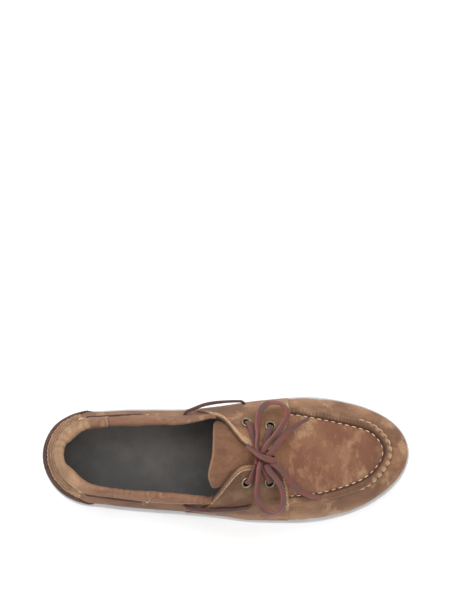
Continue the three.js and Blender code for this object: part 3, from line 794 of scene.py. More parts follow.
class Recipe:
    """A material's node tree, put together socket by socket."""

    def __init__(self, name: str) -> None:
        """Starts an empty material with one Principled shader.

        Args:
            name: the material's name.
        """
        self.material = bpy.data.materials.new(name)
        self.material.use_nodes = True
        self.tree = self.material.node_tree
        self.tree.nodes.clear()
        self.shader = self.tree.nodes.new("ShaderNodeBsdfPrincipled")
        out = self.tree.nodes.new("ShaderNodeOutputMaterial")
        self.tree.links.new(self.shader.outputs[0], out.inputs[0])
        self.space = self.tree.nodes.new("ShaderNodeTexCoord").outputs["Object"]

    def put(self, socket: bpy.types.NodeSocket, value: Value) -> None:
        """Links a socket to another, or sets it to a number or colour.

        Args:
            socket: the input.
            value: an output, a number or a colour.
        """
        if isinstance(value, bpy.types.NodeSocket):
            self.tree.links.new(value, socket)
        elif isinstance(value, tuple) and socket.type == "RGBA":
            socket.default_value = (*value, 1.0)
        else:
            socket.default_value = value

    def add(self, kind: str, settings: dict[str, object] | None = None, **sockets: object) -> bpy.types.Node:
        """A node with its settings and inputs; an input's spaces are written as underscores.

        Args:
            kind: the node's type.
            settings: its properties.
            sockets: its inputs by name.

        Returns:
            The node.
        """
        node = self.tree.nodes.new(kind)
        for key, value in (settings or {}).items():
            setattr(node, key, value)
        for key, value in sockets.items():
            self.put(node.inputs[key.replace("_", " ")], value)
        return node

    def noise(
        self,
        scale: float,
        detail: float = 3.0,
        stretch: tuple[float, float, float] = (1, 1, 1),
        seed: float = 0,
    ) -> bpy.types.NodeSocket:
        """Noise on Object coordinates, centred on the shoe.

        Args:
            scale: waves per metre.
            detail: how many finer layers there are.
            stretch: how much closer the waves lie along each axis.
            seed: how far the pattern is moved.

        Returns:
            The noise's value.
        """
        place = (seed, seed * 0.7, 0)
        spot = self.add("ShaderNodeMapping", Vector=self.space, Scale=stretch, Location=place).outputs[0]
        node = self.add("ShaderNodeTexNoise", Vector=spot, Scale=scale, Detail=detail, Roughness=0.6)
        return node.outputs["Fac"]

    def ramp(
        self, value: Value, start: tuple[float, float], end: tuple[float, float]
    ) -> bpy.types.NodeSocket:
        """A value sent through a smooth step.

        Args:
            value: what is sent through.
            start: where the step begins, as (from, to).
            end: where it ends, as (from, to).

        Returns:
            The stepped value.
        """
        node = self.add("ShaderNodeMapRange", {"interpolation_type": "SMOOTHSTEP"}, Value=value)
        for key, number in zip(("From Min", "To Min", "From Max", "To Max"), (*start, *end)):
            node.inputs[key].default_value = number
        return node.outputs[0]

    def mix(self, share: Value, a: Value, b: Value) -> bpy.types.NodeSocket:
        """Colour a with a share of colour b mixed in.

        Args:
            share: how much of b.
            a: the first colour.
            b: the second colour.

        Returns:
            The mixed colour.
        """
        node = self.tree.nodes.new("ShaderNodeMix")
        node.data_type = "RGBA"
        colours = [s for s in node.inputs if s.type == "RGBA"]
        self.put(node.inputs[0], share)
        self.put(colours[0], a)
        self.put(colours[1], b)
        return next(s for s in node.outputs if s.type == "RGBA")

    def sum(self, a: Value, b: Value, how: str = "ADD") -> bpy.types.NodeSocket:
        """Two numbers put together by a Math node.

        Args:
            a: the first number.
            b: the second number.
            how: the node's operation.

        Returns:
            The result.
        """
        node = self.tree.nodes.new("ShaderNodeMath")
        node.operation = how
        self.put(node.inputs[0], a)
        self.put(node.inputs[1], b)
        return node.outputs[0]

    def painted(self, name: str) -> bpy.types.NodeSocket:
        """The number that the piece carries under a name."""
        return self.add("ShaderNodeAttribute", {"attribute_name": name}).outputs["Fac"]

    def relief(self, height: Value, strength: float, distance: float) -> None:
        """Sends a height through a Bump node into the shader."""
        node = self.add("ShaderNodeBump", Height=height, Strength=strength, Distance=distance)
        self.put(self.shader.inputs["Normal"], node.outputs[0])

    def finish(self, colour: Value, roughness: Value, **sockets: float | Colour) -> bpy.types.Material:
        """Sets the shader's colour, roughness and other sockets, and returns the material.

        Args:
            colour: the base colour.
            roughness: how rough it is.
            sockets: other inputs by name, their spaces as underscores.

        Returns:
            The material.
        """
        self.put(self.shader.inputs["Base Color"], colour)
        self.put(self.shader.inputs["Roughness"], roughness)
        for key, value in sockets.items():
            self.put(self.shader.inputs[key.replace("_", " ")], value)
        return self.material


@dataclass(frozen=True)
class Nubuck:
    """Oiled nubuck: a mottled nap with darker patches, pale scuffs and a redder cast on the toe plug."""

    name: str
    light: Colour = (0.29, 0.155, 0.082)
    dark: Colour = (0.12, 0.054, 0.03)
    scuff: Colour = (0.47, 0.3, 0.172)
    plug: Colour = (0.155, 0.06, 0.034)
    scratch: Colour = (0.36, 0.195, 0.115)
    darkened: Colour = (0.055, 0.028, 0.019)
    inside: Colour = (0.07, 0.062, 0.055)
    blotch: float = 24.0
    mottling: float = 0.8
    scuffing: float = 0.5

    def make(self) -> bpy.types.Material:
        """Builds the material.

        Returns:
            The material.
        """
        r = Recipe(self.name)
        patches = r.ramp(r.noise(self.blotch, 5, (1, 0.6, 1)), (0.38, 0.0), (0.62, 1.0))
        colour = r.mix(patches, self.light, self.dark)
        colour = r.mix(self.mottling, self.light, colour)
        streaks = r.ramp(r.noise(95, 6, (1, 0.4, 1), 3.1), (0.45, 0.0), (0.66, 0.6))
        colour = r.mix(streaks, colour, self.dark)
        clouds = r.ramp(r.noise(34, 6, (1, 1, 1), 1.7), (0.4, 0.08), (0.62, 0.55))
        red = r.mix(clouds, self.plug, self.light)
        red = r.mix(0.22, red, self.plug)
        scratched = r.ramp(r.noise(62, 14, (0.7, 1.5, 1), 5.3), (0.53, 0.0), (0.6, 0.42))
        red = r.mix(scratched, red, self.scratch)
        fine_scratches = r.ramp(r.noise(120, 12, (0.8, 1.25, 1), 9.1), (0.55, 0.0), (0.62, 0.35))
        red = r.mix(fine_scratches, red, self.scratch)
        colour = r.mix(r.painted("plug"), colour, red)
        rubbed = r.ramp(r.noise(48, 9, (1, 1.3, 1), 7.7), (0.53, 0.0), (0.68, 1.0))
        scuffs = r.sum(rubbed, self.scuffing, "MULTIPLY")
        colour = r.mix(scuffs, colour, self.scuff)
        colour = r.mix(r.painted("worn"), colour, self.scuff)
        # Painted shade in the seam's grooves and the collar's creases, and a darker tone on the flaps' edges
        # and the lateral flap, mixed in towards the dark colour.
        colour = r.mix(r.painted("grime_and_shade"), colour, self.darkened)
        colour = r.mix(r.painted("inside"), colour, self.inside)
        fine = r.noise(1100, 3, (1, 1, 1), 0.4)
        colour = r.mix(r.ramp(fine, (0.38, 0.0), (0.66, 0.4)), colour, self.dark)
        height = r.sum(r.sum(r.noise(380, 6), 1.8, "MULTIPLY"), r.sum(fine, 0.6, "MULTIPLY"))
        r.relief(height, 0.6, 0.0007)
        rough = r.ramp(patches, (0.0, 0.85), (1.0, 0.74))
        return r.finish(colour, rough, Specular_IOR_Level=0.22, Sheen_Weight=0.04, Sheen_Roughness=0.5)


@dataclass(frozen=True)
class Rawhide:
    """Waxed rawhide lace: a burgundy flat with brighter, paler cut edges."""

    name: str
    flat: Colour = (0.14, 0.041, 0.034)
    edge: Colour = (0.22, 0.064, 0.05)
    dull: Colour = (0.082, 0.047, 0.043)

    def make(self) -> bpy.types.Material:
        """Builds the material.

        Returns:
            The material.
        """
        r = Recipe(self.name)
        colour = r.mix(r.ramp(r.noise(120, 3), (0.35, 0.0), (0.65, 1.0)), self.flat, self.dull)
        colour = r.mix(r.painted("edge"), colour, self.edge)
        r.relief(r.noise(900, 4, (1, 1, 1)), 0.3, 0.0004)
        return r.finish(colour, 0.55, Specular_IOR_Level=0.3)


@dataclass(frozen=True)
class Plain:
    """A finish of two mixed tones, a grain and one roughness: counter, rubber, footbed, thread and brass.

    The scale and the grain are in waves per metre, the depth in metres.
    """

    name: str
    tone: Colour
    second: Colour
    scale: float
    rough: float
    grain: float = 900.0
    depth: float = 0.0003
    metallic: float = 0.0
    shine: float = 0.3

    def make(self) -> bpy.types.Material:
        """Builds the material.

        Returns:
            The material.
        """
        r = Recipe(self.name)
        colour = r.mix(r.ramp(r.noise(self.scale, 4), (0.38, 0.0), (0.66, 1.0)), self.tone, self.second)
        dirt = tuple(0.35 * c for c in self.second)
        colour = r.mix(r.painted("grime_and_shade"), colour, dirt)
        r.relief(r.noise(self.grain, 4), 0.4, self.depth)
        shine = 0.5 if self.metallic else self.shine
        return r.finish(colour, self.rough, Metallic=self.metallic, Specular_IOR_Level=shine)


class Finishes:
    """Every finish of the shoe, made once."""

    def __init__(self) -> None:
        """Builds all materials."""
        self.nubuck = Nubuck("nubuck").make()
        self.tongue = Nubuck(
            "tongue_nubuck", light=(0.235, 0.114, 0.064), dark=(0.118, 0.054, 0.029), scuffing=0.2
        ).make()
        self.collar = Nubuck(
            "collar_nubuck", light=(0.243, 0.128, 0.076), dark=(0.128, 0.056, 0.034), mottling=0.7
        ).make()
        self.counter = Plain(
            "counter_leather", (0.078, 0.041, 0.028), (0.05, 0.027, 0.02), 90, 0.75, shine=0.15
        ).make()
        self.rawhide = Rawhide("rawhide").make()
        # A darker copy of the lace's rawhide for the strands along the sides: painted shade.
        self.shaded_side_rawhide = Rawhide(
            "shaded_side_rawhide", (0.06, 0.02, 0.016), (0.1, 0.035, 0.028), (0.04, 0.016, 0.014)
        ).make()
        # The white sole's rubber is toned grey: painted shade, so that its lip shows against the floor.
        self.rubber = Plain(
            "sole_rubber", (0.56, 0.555, 0.56), (0.49, 0.485, 0.49), 60, 0.6, 1500, 0.0002
        ).make()
        self.footbed = Plain(
            "footbed", (0.108, 0.097, 0.089), (0.078, 0.075, 0.073), 34, 0.7, 1800, 0.0004
        ).make()
        self.thread = self.yarn("thread", (0.66, 0.45, 0.3), (0.5, 0.32, 0.2))
        self.tan_thread = self.yarn("tan_thread", (0.56, 0.37, 0.23), (0.36, 0.22, 0.13))
        self.dark_thread = self.yarn("dark_thread", (0.16, 0.09, 0.055), (0.1, 0.055, 0.035))
        self.brass = Plain(
            "aged_brass", (0.27, 0.235, 0.15), (0.13, 0.115, 0.07), 400, 0.4, 1500, 0.0001, 1.0
        ).make()

    @staticmethod
    def yarn(name: str, tone: Colour, second: Colour) -> bpy.types.Material:
        """A thread's finish in two tones."""
        return Plain(name, tone, second, 200, 0.8, 4000, 0.0002).make()


def dress(obj: bpy.types.Object, finish: bpy.types.Material, slot: str, *nodes: str) -> bpy.types.Object:
    """Gives a piece its finish, lets it ride on the shoe, and hides the solids it stands for.

    Args:
        obj: the piece.
        finish: its material.
        slot: not used.
        nodes: the solids it stands for.

    Returns:
        The piece.
    """
    obj.data.materials.append(finish)
    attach(obj, "root")
    if nodes:
        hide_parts(*nodes)
    log.info("%s: %d vertices", obj.name, len(obj.data.vertices))
    return obj


# Pieces


@dataclass
class Sole:
    """The rubber sole and the footbed on it."""

    make: Fabricator
    lip_depth: float = 3.6
    groove_depth: float = 0.8
    footbed_thickness: float = 4
    wave: float = 2.2
    waves_across: float = 1.5
    siping_pitch: float = 14
    siping_width: float = 1.6
    siping_depth: float = 1.5
    margin: float = 9
    stretches: tuple[tuple[float, int], ...] = ((18, 4), (160, 6))

    def siping(self, x: Array, y: Array) -> Array:
        """Depth of the wavy grooves: depth * (1 - a smooth step of the distance from the groove's line).

        Args:
            x: X of points under the sole.
            y: Y of the same points.

        Returns:
            How deep a groove is at each point, 0 between grooves and past the margin.
        """
        last = self.make.last
        at = last.share_of(y)
        half = last.half_width(at) - self.margin
        across = (x - last.centre_x(at)) / np.maximum(half, 1)
        line = self.wave * np.sin(2 * np.pi * self.waves_across * (across + 1) / 2)
        depth = np.zeros_like(x)
        for start, count in self.stretches:
            for n in range(count):
                off = np.abs(y + last.sole_length / 2 - (start + n * self.siping_pitch) - line)
                groove = self.siping_depth * (1 - smooth(off, 0.3, self.siping_width * 0.62))
                depth = np.maximum(depth, groove)
        return depth * (1 - smooth(np.abs(across), 0.97, 1.03))

    def outsole(self) -> bpy.types.Object:
        """Rings across the sole: underside, lateral side, top and medial side, lofted from heel to toe.

        Returns:
            The closed sole.
        """
        last = self.make.last
        phi = np.linspace(0, np.pi, 620)
        at = share_at(phi)
        top, foot = last.seat(at), last.underside(at)
        middle = lerp(foot, top, 0.5)
        rim = [(1.6, foot), (1.2, foot + 0.15), (0.75, foot + 0.6), (0.5, foot + 1.2), (0.55, middle)]
        depth = self.lip_depth
        rim += [(self.groove_depth, top - depth - 0.7), (self.groove_depth, top - depth - 0.1)]
        rim += [(0.25, top - depth + 0.15), (0, top - depth + 0.6), (0, top - 0.9)]
        rim += [(0.2, top - 0.3), (0.8, top)]
        sides = []
        for sign in (1, -1):
            plans = [last.inset_point(sign * phi, inset) for inset, _ in rim]
            lines = [np.concatenate([plan, z[:, None]], -1) for plan, (_, z) in zip(plans, rim)]
            sides.append(np.stack(lines, 1))
        lateral, medial = sides
        share = np.linspace(0, 1, 62)[None, 1:-1, None]
        under = lerp(medial[:, :1], lateral[:, :1], share)
        siping = self.siping(under[..., 0], under[..., 1])
        under[..., 2] = last.underside(last.share_of(under[..., 1])) + siping
        over = lerp(lateral[:, -1:], medial[:, -1:], np.linspace(0, 1, 6)[None, 1:-1, None])
        over[..., 2] = last.seat(last.share_of(over[..., 1]))
        loops = np.concatenate([under, lateral, over, medial[:, ::-1]], 1)
        n, k, _ = loops.shape
        grime_and_shade = np.zeros((n, k))
        grime_and_shade[:, : under.shape[1]] = 0.25 + 0.5 * (siping > 0.5)
        faces = self.make.quads(n, k, False, True)
        return self.make.mesh("sole", loops, faces, {"grime_and_shade": grime_and_shade}, weld=True)

    def footbed(self) -> bpy.types.Object:
        """A dished sheet inside the upper: its edge curls up against the wall, its surface is softly worn.

        Returns:
            The closed sheet.
        """
        last = self.make.last
        clear = last.lip + last.feather_inset + last.wall + 2 * last.gap
        phi = np.linspace(0, np.pi, 300)
        edges = [last.inset_point(sign * phi, clear) for sign in (1, -1)]
        across = np.linspace(-1, 1, 72)[None, :, None]
        plan = lerp(edges[1][:, None], edges[0][:, None], (across + 1) / 2)
        wide = np.linalg.norm(edges[0] - edges[1], axis=-1)[:, None]
        away = (1 - np.abs(across[..., 0])) * wide / 2
        base = last.seat(last.share_of(plan[..., 1])) + last.gap
        curl = 1.3 * np.exp(-away / 5) - 0.5 * np.exp(-away / 0.8)
        top = base + self.footbed_thickness + curl
        grid = np.concatenate([plan, top[..., None]], -1)
        dent = 0.35 * bump(grid[..., 1], -95, 34) * bump(grid[..., 0], 0, 22)
        grid[..., 2] += 0.16 * waves(grid, 34, 5) - dent
        floor = np.concatenate([plan, base[..., None]], -1)
        loops = np.concatenate([grid, floor[:, ::-1]], 1)
        n, k, _ = loops.shape
        edge = 0.5 * np.exp(-np.concatenate([away, away[:, ::-1]], 1) / 3)
        grime_and_shade = smooth(loops[..., 1], -45, 10) * 0.35 + edge
        faces = self.make.quads(n, k, False, True)
        return self.make.mesh("footbed", loops, faces, {"grime_and_shade": clamp(grime_and_shade)}, weld=True)


@dataclass
class MocSeam:
    """The raised seam round the toe plug, with its puckers and both rows of stitches."""

    make: Fabricator
    height: float = 2.4
    half: float = 3.1
    start: float = 0.6
    full: float = 0.66
    pitch: float = 5.6

    def along(self, psi: Array) -> Array:
        """Length along the shoulder line from the seam's lateral start.

        Args:
            psi: angles round the outline.

        Returns:
            The length at each angle.
        """
        fine = np.linspace(0, 2 * np.pi, 4001)
        path = self.make.last.bare(fine, np.full(fine.shape, float(Place.SHOULDER)))
        run = distances(path)
        return np.interp(np.mod(psi, 2 * np.pi), fine, run)

    def relief(self, psi: Array, v: Array) -> Array:
        """The seam's height: a bead sqrt(1 - (w / half)^2), a sunk line inside it and puckers outside it.

        Args:
            psi: angles round the outline.
            v: places up the sections.

        Returns:
            How far the leather stands off the bare upper.
        """
        last = self.make.last
        w = last.run_from_shoulder(psi, v)
        at = share_at(psi)
        fade = smooth(at, self.start, self.full)
        pucker = 0.5 + 0.5 * np.cos(2 * np.pi * self.along(psi) / self.pitch)
        toe = smooth(at, 0.74, 0.9)
        apex = smooth(at, 0.87, 0.95)
        half = self.half * (0.82 + 0.22 * toe) * (1 + (0.1 + 0.22 * apex) * pucker * (w < 0))
        bead = self.height * np.sqrt(clamp(1 - (w / half) ** 2))
        bead = bead * (1 - 0.16 * toe * pucker - 0.5 * apex * pucker * smooth(-w, 0.6, 2.2))
        line = -0.9 * bump(w, self.half + 0.05, 0.5) - 0.45 * bump(w, self.half + 0.7, 0.7)
        line = line - (0.35 + 0.35 * toe * pucker) * bump(w, -self.half - 0.9, 0.9)
        folds = 0.3 * toe * np.cos(2 * np.pi * self.along(psi) / self.pitch + 0.6)
        folds = folds * bump(w, -self.half - 2.5, 3.2)
        return fade * (bead + line + folds)

    def stitches(self, threads: Threads) -> None:
        """Dashes in the sunk line round the plug, and a leaning row outside the ridge at the toe.

        Args:
            threads: what makes the stitches.
        """
        last = self.make.last
        low = float(last.psi_at(Side.LATERAL, 0.664))
        psi = np.linspace(low, 2 * np.pi - low, 1600)
        inner = last.place_off_shoulder(psi, np.full(psi.shape, self.half + 0.7))
        sunk = 0.35 * smooth(share_at(psi), 0.92, 0.98)
        path = last.skin(psi, inner, self.relief(psi, inner) + 0.2 - sunk)
        threads.dashes("plug", path, last.facing(psi, inner), self.pitch, 3.6, 0.43)
        span = np.nonzero(share_at(psi) > 0.862)[0]
        psi = psi[span]
        a = last.place_off_shoulder(psi, np.full(psi.shape, -self.half + 0.7))
        b = last.place_off_shoulder(psi, np.full(psi.shape, -self.half + 0.1))
        start = last.skin(psi, a, self.relief(psi, a) + 0.2)
        end = last.skin(psi, b, self.relief(psi, b) + 0.2)
        threads.crosses("outer", start, end, last.facing(psi, a), self.pitch, 4.3, 0.45)


@dataclass
class Threads:
    """Stitches: short capsules of thread, each bowed a little off the leather."""

    make: Fabricator
    sides: int = 7
    rings: int = 6
    batches: dict[str, list[Array]] = field(default_factory=dict)

    def keep(self, batch: str, loops: Array) -> None:
        """Adds stitches to a batch."""
        self.batches.setdefault(batch, []).append(loops)

    def capsules(self, start: Array, end: Array, normal: Array, radius: float) -> Array:
        """Loops of each stitch round lerp(start, end, t) + normal * bow * sin(pi t), thinner at both ends.

        Args:
            start: where each stitch starts.
            end: where each ends.
            normal: the way each stands off the leather.
            radius: the thread's radius.

        Returns:
            For each stitch its rings of points.
        """
        t = np.linspace(0, 1, self.rings)[None, :, None]
        bow = 0.45 * radius + 0.03 * np.linalg.norm(end - start, axis=-1)[:, None, None]
        centre = lerp(start[:, None], end[:, None], t) + normal[:, None] * bow * np.sin(np.pi * t)
        along = unit(end - start)[:, None]
        side = unit(np.cross(along, normal[:, None]))
        over = np.cross(side, along)
        size = radius * np.sqrt(clamp(1 - (2 * t - 1) ** 6, 0.05))
        a = np.linspace(0, 2 * np.pi, self.sides, endpoint=False)
        ring = side[:, :, None] * np.cos(a)[:, None] + over[:, :, None] * np.sin(a)[:, None]
        return centre[:, :, None] + ring * size[..., None]

    def sample(self, path: Array, normal: Array, places: Array) -> tuple[Array, Array]:
        """Points and normals at distances along a path."""
        run = distances(path)
        return read_rows(path, run, places), unit(read_rows(normal, run, places))

    def dashes(
        self, batch: str, path: Array, normal: Array, pitch: float, dash: float, radius: float
    ) -> None:
        """A running row along a path.

        Args:
            batch: the batch it goes into.
            path: its line on the leather.
            normal: the leather's outward direction at each point.
            pitch: from one stitch to the next.
            dash: a stitch's length.
            radius: the thread's radius.
        """
        total = length_of(path)
        count = max(int(total / pitch), 1)
        places = (np.arange(count) + 0.2) * total / count
        start, up = self.sample(path, normal, places)
        end, _ = self.sample(path, normal, places + dash)
        self.keep(batch, self.capsules(start, end, up, radius))

    def crosses(
        self, batch: str, a: Array, b: Array, normal: Array, pitch: float, dash: float, radius: float
    ) -> None:
        """A row of stitches that start on path a and end on path b, a dash further along.

        Args:
            batch: the batch it goes into.
            a: the line of the starts.
            b: the line of the ends.
            normal: the leather's outward direction at each point.
            pitch: from one stitch to the next.
            dash: how far along a stitch reaches.
            radius: the thread's radius.
        """
        total = length_of(a)
        count = max(int(total / pitch), 1)
        places = (np.arange(count) + 0.2) * total / count
        start, up = self.sample(a, normal, places)
        end, _ = self.sample(b, normal, (places + dash) * length_of(b) / total)
        self.keep(batch, self.capsules(start, end, up, radius))

    def zigzag(self, batch: str, a: Array, b: Array, normal: Array, pitch: float, radius: float) -> None:
        """A row that goes to and fro between two paths of as many points.

        Args:
            batch: the batch it goes into.
            a: the first path.
            b: the second path.
            normal: the leather's outward direction at each point.
            pitch: from one stitch on a path to the next.
            radius: the thread's radius.
        """
        total = length_of(a)
        count = max(int(total / pitch), 2)
        pick = np.linspace(0, 1, len(a))
        t = np.linspace(0, 1, 2 * count + 1)
        points = np.where((np.arange(len(t)) % 2 == 0)[:, None], read_rows(a, pick, t), read_rows(b, pick, t))
        up = unit(read_rows(normal, pick, t[:-1]))
        self.keep(batch, self.capsules(points[:-1], points[1:], up, radius))

    def build(self, batch: str) -> bpy.types.Object:
        """One object of all stitches in a batch, each a closed capsule.

        Args:
            batch: the batch's name.

        Returns:
            The object.
        """
        loops = np.concatenate(self.batches[batch])
        n, rings, sides, _ = loops.shape
        one = self.make.quads(rings, sides, False, True)
        size = rings * sides + 2
        points = np.concatenate([loops.reshape(n, -1, 3), loops[:, :1].mean(2), loops[:, -1:].mean(2)], 1)
        a = np.arange(sides)
        b = (a + 1) % sides
        tail = (rings - 1) * sides
        first = np.stack([a, b, np.full(sides, size - 2)], -1)
        second = np.stack([tail + b, tail + a, np.full(sides, size - 1)], -1)
        caps = np.concatenate([first, second])
        shift = np.arange(n)[:, None, None] * size
        faces = (one + shift).reshape(-1, 4).tolist() + (caps + shift).reshape(-1, 3).tolist()
        return self.make.mesh(f"stitches_{batch}", points, faces)


@dataclass
class Upper:
    """The leather shell: quarters, vamp, toe plug and its seam in one wall."""

    make: Fabricator
    seam: MocSeam

    def columns(self) -> Array:
        """Angles round the outline, close together in front of the throat and wider behind.

        Returns:
            The angles, the same on both sides.
        """
        fine = np.linspace(0, 2 * np.pi, 6001)
        line = self.make.last.outline(fine)
        at = share_at(fine)
        step = np.where(at > 0.63, 0.8, np.where(at > 0.44, 1.3, 2.4))
        weight = np.linalg.norm(np.diff(line, axis=0), axis=-1) / step[1:]
        run = np.concatenate([[0], np.cumsum(weight)])
        half = int(run[3000]) + 1
        front = np.interp(np.linspace(0, run[3000], half + 1), run[:3001], fine[:3001])
        return np.concatenate([front, 2 * np.pi - front[-2:0:-1]])

    def folds(self, points: Array) -> Array:
        """Soft wrinkles across the vamp where the foot bends, and a slow waviness all over.

        Args:
            points: points of the bare upper.

        Returns:
            How far the leather stands off at each point.
        """
        y, x = points[..., 1], points[..., 0]
        lines = ((46, 0.25, 0.5, 3.2), (56, -0.2, 0.42, 2.6), (67, 0.16, 0.34, 3.4), (83, -0.1, 0.22, 4.0))
        bend = sum(
            -depth * bump(y - slant * x - 0.004 * x * x, place, wide) for place, slant, depth, wide in lines
        )
        flank = bump(y - 0.35 * np.abs(x), 22, 5) * smooth(np.abs(x), 34, 46) * -0.6
        return bend + flank + 0.3 * waves(points, 46, 2) + 0.1 * waves(points, 13, 3)

    def shell(self) -> bpy.types.Object:
        """Columns of outer face, edge and inner face; rows past the edge fall on it and are joined.

        Returns:
            The closed shell.
        """
        last = self.make.last
        psi = self.columns()[:, None]
        edge = last.edge_place(psi[:, 0])[:, None]
        near = last.place_off_shoulder(psi, np.full(psi.shape, -4.6))
        past = last.place_off_shoulder(psi, np.full(psi.shape, 5.0))
        low = np.repeat(np.linspace(0, Place.BULGE, 6)[None, :-1], len(psi), 0)
        wall = lerp(Place.BULGE, near, np.linspace(0, 1, 15)[None, :-1])
        zone = lerp(near, past, np.linspace(0, 1, 30)[None, :-1])
        crown = lerp(past, Place.RIDGE, np.linspace(0, 1, 26)[None, :] ** 0.9)
        outer = np.minimum(np.concatenate([low, wall, zone, crown], 1), edge)
        inner = np.minimum(np.linspace(1, 0, 34)[None, :], edge)
        angle = np.broadcast_to(psi, outer.shape)
        relief = self.seam.relief(angle, outer)
        base = last.bare(angle, outer)
        fold = self.folds(base) * smooth(outer, Place.FOOT, Place.BULGE)
        fold *= 1 - 0.8 * smooth(last.opening.rows[-1][0] + 0.02 - share_at(angle), 0, 0.03)
        skin = base + last.facing(angle, outer) * (relief + fold)[..., None]
        angle_in = np.broadcast_to(psi, inner.shape)
        lining = last.skin(angle_in, inner, np.full(inner.shape, -last.wall))
        lining[:, -1, 2] = skin[:, 0, 2]
        loops = np.concatenate([skin, lining], 1)
        n, k, _ = loops.shape
        faces = self.make.quads(n, k, True, True).reshape(n, k, 4)
        rim = outer.shape[1] - 1
        shut = (edge[:, 0] >= 1) & (np.roll(edge[:, 0], -1) >= 1)
        keep = np.ones((n, k), bool)
        keep[shut, rim] = False
        at = share_at(angle)
        w = last.run_from_shoulder(angle, outer)
        front = smooth(at, 0.6, 0.66)
        plug = front * smooth(w, 2.6, 3.8) * (0.9 + 0.1 * waves(base, 30, 8))
        toe = smooth(at, 0.74, 0.9)
        pucker = 0.5 + 0.5 * np.cos(2 * np.pi * self.seam.along(angle) / self.seam.pitch)
        apex = smooth(at, 0.87, 0.95)
        ridge = front * bump(w, -self.seam.half + 0.6, 1.5) * (0.2 + 0.45 * toe * (1 - 0.6 * pucker))
        ridge += 0.8 * apex * (1 - 0.85 * pucker) * bump(w, -0.4, 1.1)
        # Painted shade: this mask darkens the seam's sunk line and its outer groove, the crown's inner slope,
        # the hollows between the puckers at the toe and the medial pleats.
        outer_groove = (0.35 + (0.5 * toe + 0.4 * apex) * pucker) * bump(w, -3.9, 0.8)
        groove = front * (bump(w, self.seam.half - 0.15, 0.55) + outer_groove)
        crown_shade = bump(w, 0.6 + 1.1 * apex, 1.8 - 0.7 * apex)
        groove += front * (0.3 + 0.3 * toe) * crown_shade * (0.7 + 0.3 * waves(base, 9, 9))
        groove += 0.55 * apex * pucker**4 * bump(w, -0.6, 0.9)
        # Painted shadow on the plug, just inside the seam at the toe.
        groove += 0.26 * smooth(at, 0.9, 0.97) * front * bump(w, 6.5, 4.5)
        medial = np.sin(angle) < 0
        pleats = 0.5 + 0.5 * np.cos(4 * np.pi * self.seam.along(angle) / self.seam.pitch)
        groove += medial * front * (1 - apex) * 0.5 * pleats * bump(w, 1.6, 1.1)
        # Painted shade over the lateral quarter, deepest in a painted shadow just under the collar's roll.
        shade = smooth(at, 0.12, 0.2) * (1 - smooth(at, 0.42, 0.48)) * ~medial
        groove += shade * (0.22 + 0.45 * bump(outer, 0.6, 0.07))
        golden = 0.42 * bump(outer, 0.22, 0.17) * clamp(0.7 + 0.7 * waves(base, 26, 13))
        golden = golden * smooth(at, 0.3, 0.7)
        golden *= 1 - 0.9 * smooth(at, 0.93, 0.99)
        pad = np.zeros(inner.shape)
        values = {
            "plug": np.concatenate([clamp(plug), pad], 1),
            "worn": np.concatenate([clamp(ridge + golden), pad], 1),
            # The upper is also darkened along its foot, next to the sole: painted shade.
            "grime_and_shade": np.concatenate([clamp(groove + 0.35 * bump(outer, 0.0, 0.06)), pad], 1),
            "inside": np.concatenate([np.zeros(outer.shape), pad + 1], 1),
        }
        return self.make.mesh("vamp_and_quarters", loops, faces[keep], values, weld=True)


